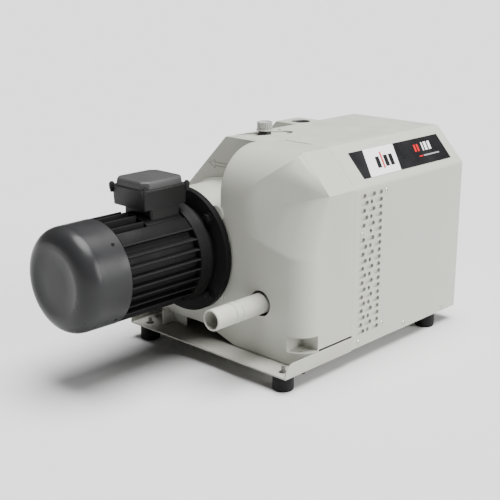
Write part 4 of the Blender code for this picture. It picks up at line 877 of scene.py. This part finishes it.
# ---------------------------------------------------------------- motor
shield = [(-8.7, 80.5), (-8.7, 98.6), (6.0, 100.5), (14.0, 102.6), (18.0, 101.6), (20.5, 96.0),
          (31.0, 92.0), (31.0, 124.6), (32.0, 125.0), (43.6, 125.0), (44.2, 124.4), (44.2, 89.7),
          (48.0, 89.7), (48.0, 62.0), (36.0, 62.0), (28.0, 42.0), (28.0, 18.0), (22.5, 18.0), (22.5, 31.3),
          (8.0, 31.3), (8.0, 42.0), (18.0, 62.0), (16.0, 80.5)]
flange = to_object("motor_front_shield", lathe(soften(shield, 1.2, 3, closed=True), SHAFT, X_AXIS, 128))
dress(flange, FLANGE_BLACK, replaces=["motor_flange"], smooth=26.0)
for index in range(4):
    y, z = round_shaft(107.5, index)
    turned("flange_screw_%d" % (index + 1),
           [(28.6, 0.0), (28.6, 11.5), (30.7, 11.5), (30.7, 5.9), (58.0, 5.9), (58.0, 0.0)],
           BLACK, ["flange_bolt_%d" % (index + 1)], 0.4, 40, at(0.0, y, z))
    corners_round = [math.radians(60.0 * side + 10.0) for side in range(6)]
    head = to_object("flange_screw_head_%d" % (index + 1),
                     prism([at(22.6, y + 9.0 * math.cos(turn), z + 9.0 * math.sin(turn))
                            for turn in corners_round], X_AXIS * mm(6.2)))
    soft_edges(head, 0.8, 2, 40.0)
    dress(head, BLACK)

FRAME_X = (-176.0, -9.0)
FRAME_R = 86.0
FIN_R = 99.0
FIN_TOP = 62.6
FIN_PITCH = 18.5
UPRIGHT_PITCH = 21.0
BOX_SIDE_X = -102.0
tube = [(FRAME_X[0], 80.0), (FRAME_X[0], FRAME_R), (FRAME_X[1], FRAME_R), (FRAME_X[1], 80.0)]
frame_tube = to_object("finned_frame", lathe(tube, SHAFT, X_AXIS, 96))


def fin(offset, side, upright, x_range):
    """One cooling fin: a tapered web with a rounded crest."""
    reach = math.sqrt(FIN_R ** 2 - (abs(offset) + 1.6) ** 2)
    root = math.sqrt(max(FRAME_R ** 2 - (abs(offset) + 2.6) ** 2, 0.0)) - 4.0
    profile = [(root, -2.6), (reach - 1.2, -1.5), (reach - 0.3, -0.9), (reach, 0.0), (reach - 0.3, 0.9),
               (reach - 1.2, 1.5), (root, 2.6)]
    if upright:
        outline = [(AXIS_Y + offset + across, AXIS_Z + side * out) for out, across in profile]
    else:
        outline = [(AXIS_Y + side * out, AXIS_Z + offset + across) for out, across in profile]
    return along_x(outline, *x_range)


for step in range(8):
    for side in (-1.0, 1.0):
        join(frame_tube, to_object("fin_tool", fin(FIN_TOP - step * FIN_PITCH, side, False, FRAME_X)))
for step in range(-2, 3):
    join(frame_tube, to_object("fin_tool", fin(step * UPRIGHT_PITCH, -1.0, True, FRAME_X)))
    join(frame_tube, to_object("fin_tool", fin(step * UPRIGHT_PITCH, 1.0, True, (FRAME_X[0], BOX_SIDE_X))))
dress(frame_tube, BLACK, replaces=["stator_frame"], smooth=26.0)


def shell_patch(name, radii, angles, x_range, steps):
    """Smooth pad on the frame between two angles about the shaft, measured from +y."""
    outline = arc(AXIS_Y, AXIS_Z, radii[1], angles[0], angles[1], steps)
    outline += arc(AXIS_Y, AXIS_Z, radii[0], angles[1], angles[0], steps)
    patch = to_object(name, along_x(outline, *x_range))
    soft_edges(patch, 1.6, 3, 50.0)
    return dress(patch, BLACK, smooth=26.0)


for side, angles in (("near", (123.0, 139.5)), ("far", (40.5, 57.0))):
    shell_patch("frame_pad_" + side, (83.0, 97.3), angles, (FRAME_X[0] + 0.4, FRAME_X[1] - 0.3), 8)
shell_patch("box_saddle", (84.0, 95.0), (58.0, 122.0), (BOX_SIDE_X + 3.0, FRAME_X[1] - 0.3), 24)

HOOD_END = -273.3
hood_line = [(-177.8, 97.4), (-177.8, 99.0), (-240.0, 98.4)]
hood_line += arc(HOOD_END + 33.0, 65.0, 33.2, 88.0, 180.0, 16)
hood_line += [(HOOD_END, 60.0), (HOOD_END + 1.6, 55.0), (HOOD_END + 1.9, 30.0), (HOOD_END + 1.9, 0.0),
              (HOOD_END + 4.2, 0.0), (HOOD_END + 4.0, 54.0), (HOOD_END + 2.4, 60.0)]
hood_line += arc(HOOD_END + 33.0, 65.0, 31.0, 180.0, 88.0, 16)
start = hood_line.index((HOOD_END + 4.2, 0.0))
hood_loop = hood_line[start:] + hood_line[:start]
dress(to_object("fan_cowl_shell", lathe(hood_loop, SHAFT, X_AXIS, 128)), HOOD,
      replaces=["fan_hood"], smooth=40.0)
for index in range(4):
    angle = math.radians(45.0 + 90.0 * index)
    outward = Vector((0.0, math.cos(angle), math.sin(angle)))
    screw("hood_screw_%d" % (index + 1), at(-195.5, AXIS_Y, AXIS_Z) + outward * mm(98.6), outward, 3.6, 1.6,
          BLACK)


# ---------------------------------------------------------------- terminal box
def chamfered(x_range, y_range, chamfer):
    """Rectangle with its corners cut off."""
    x0, x1 = x_range
    y0, y1 = y_range
    return [(x0 + chamfer, y0), (x1 - chamfer, y0), (x1, y0 + chamfer), (x1, y1 - chamfer),
            (x1 - chamfer, y1), (x0 + chamfer, y1), (x0, y1 - chamfer), (x0, y0 + chamfer)]


def stacked(levels):
    """Loft between outlines of equal point counts: (z, x range, y range, chamfer)."""
    shape = bmesh.new()
    rings = []
    for z, x_range, y_range, chamfer in levels:
        rings.append([shape.verts.new(at(x, y, z)) for x, y in chamfered(x_range, y_range, chamfer)])
    for lower, upper in zip(rings, rings[1:]):
        for index in range(8):
            after = (index + 1) % 8
            shape.faces.new((lower[index], lower[after], upper[after], upper[index]))
    shape.faces.new(rings[0])
    shape.faces.new(rings[-1])
    return shape


BOX_X = (-101.0, 5.0)
BOX_Y = (40.0, 136.0)


def box_level(z, inset, chamfer):
    """One level of the terminal box, drawn in by `inset` from its widest outline."""
    return z, (BOX_X[0] + inset, BOX_X[1] - inset), (BOX_Y[0] + inset, BOX_Y[1] - inset), chamfer


box_body = to_object("junction_box", stacked([box_level(317.0, 2.0, 3.0), box_level(349.0, 0.6, 3.0),
                                              box_level(351.0, -0.4, 3.0), box_level(355.0, -0.4, 3.0)]))
soft_edges(box_body, 1.2, 2, 25.0)
join(box_body, to_object("box_pedestal", stacked([(296.0, (-80.0, -9.3), (47.0, 125.0), 3.0),
                                                  (318.5, (-80.0, -9.3), (47.0, 125.0), 3.0)])))
dress(box_body, BOX, replaces=["terminal_box"], smooth=30.0)
lid = to_object("junction_lid", stacked([box_level(355.4, 1.6, 12.0), box_level(366.8, 2.8, 12.0),
                                         box_level(369.5, 5.6, 11.5)]))
soft_edges(lid, 0.9, 2, 25.0)
dress(lid, LID, replaces=["terminal_lid"], smooth=30.0)
ear_spots = [(x, y) for y in (BOX_Y[0] + 1.0, BOX_Y[1] - 1.0) for x in (BOX_X[0] + 1.0, BOX_X[1] - 1.0)]
for index, (x, y) in enumerate(ear_spots):
    turned("box_ear_%d" % (index + 1), [(340.0, 0.0), (340.0, 3.2), (350.0, 5.4), (357.4, 5.4), (357.4, 0.0)],
           BOX, (), 0.8, 32, at(x, y, 0.0), Z_AXIS)
    screw("lid_screw_%d" % (index + 1), at(x, y, 357.3), Z_AXIS, 4.2, 3.0, BLACK)
turned("gland_body", [(126.0, 6.0), (126.0, 9.7), (133.9, 9.7), (133.9, 13.0), (142.0, 13.0), (142.0, 11.0),
                      (152.0, 9.5), (152.0, 6.0)], PLASTIC, ["cable_gland"], 0.8, 48,
       at(-48.0, 0.0, 337.0), Y_AXIS)

# ---------------------------------------------------------------- floor, light, camera
floor_shape = bmesh.new()
bmesh.ops.create_grid(floor_shape, x_segments=1, y_segments=1, size=30.0)
floor = to_object("floor", floor_shape)
floor_look = material("floor_white", (0.66, 0.66, 0.66), 0.9, specular=0.0, bump=0.02, tint=0.004, grain=30.0)
floor.data.materials.append(floor_look)

world = bpy.data.worlds.new("studio")
world.use_nodes = True
world.node_tree.nodes["Background"].inputs["Color"].default_value = (1.0, 1.0, 1.0, 1.0)
world.node_tree.nodes["Background"].inputs["Strength"].default_value = 0.06
bpy.context.scene.world = world


def studio_sun(name, towards, spread, strength):
    """Large soft source far away; `towards` points from the object to the light."""
    lamp = bpy.data.lights.new(name, "SUN")
    lamp.angle = math.radians(spread)
    lamp.energy = strength
    holder = bpy.data.objects.new(name, lamp)
    holder.rotation_euler = Vector(towards).to_track_quat("Z", "Y").to_euler()
    bpy.context.scene.collection.objects.link(holder)


studio_sun("overhead_light", (0.14, -0.10, 1.0), 46.0, 8.6)
studio_sun("side_light", (0.42, -0.85, 0.36), 34.0, 3.0)

# Three-quarter view from the motor's end, a little above the object.
AZIMUTH = math.radians(-46.39)
ELEVATION = math.radians(16.507)
EYE = (-1235.8, -1304.6, 763.7)
backwards = Vector((math.sin(AZIMUTH) * math.cos(ELEVATION), -math.cos(AZIMUTH) * math.cos(ELEVATION),
                    math.sin(ELEVATION)))
rightwards = Vector((math.cos(AZIMUTH), math.sin(AZIMUTH), 0.0))
upwards = backwards.cross(rightwards)
view = bpy.data.cameras.new("view")
view.sensor_width = 36.0
view.lens = 71.39
camera = bpy.data.objects.new("view", view)
camera.matrix_world = Matrix.Translation(at(*EYE)) @ \
    Matrix((rightwards, upwards, backwards)).transposed().to_4x4()
bpy.context.scene.collection.objects.link(camera)
bpy.context.scene.camera = camera
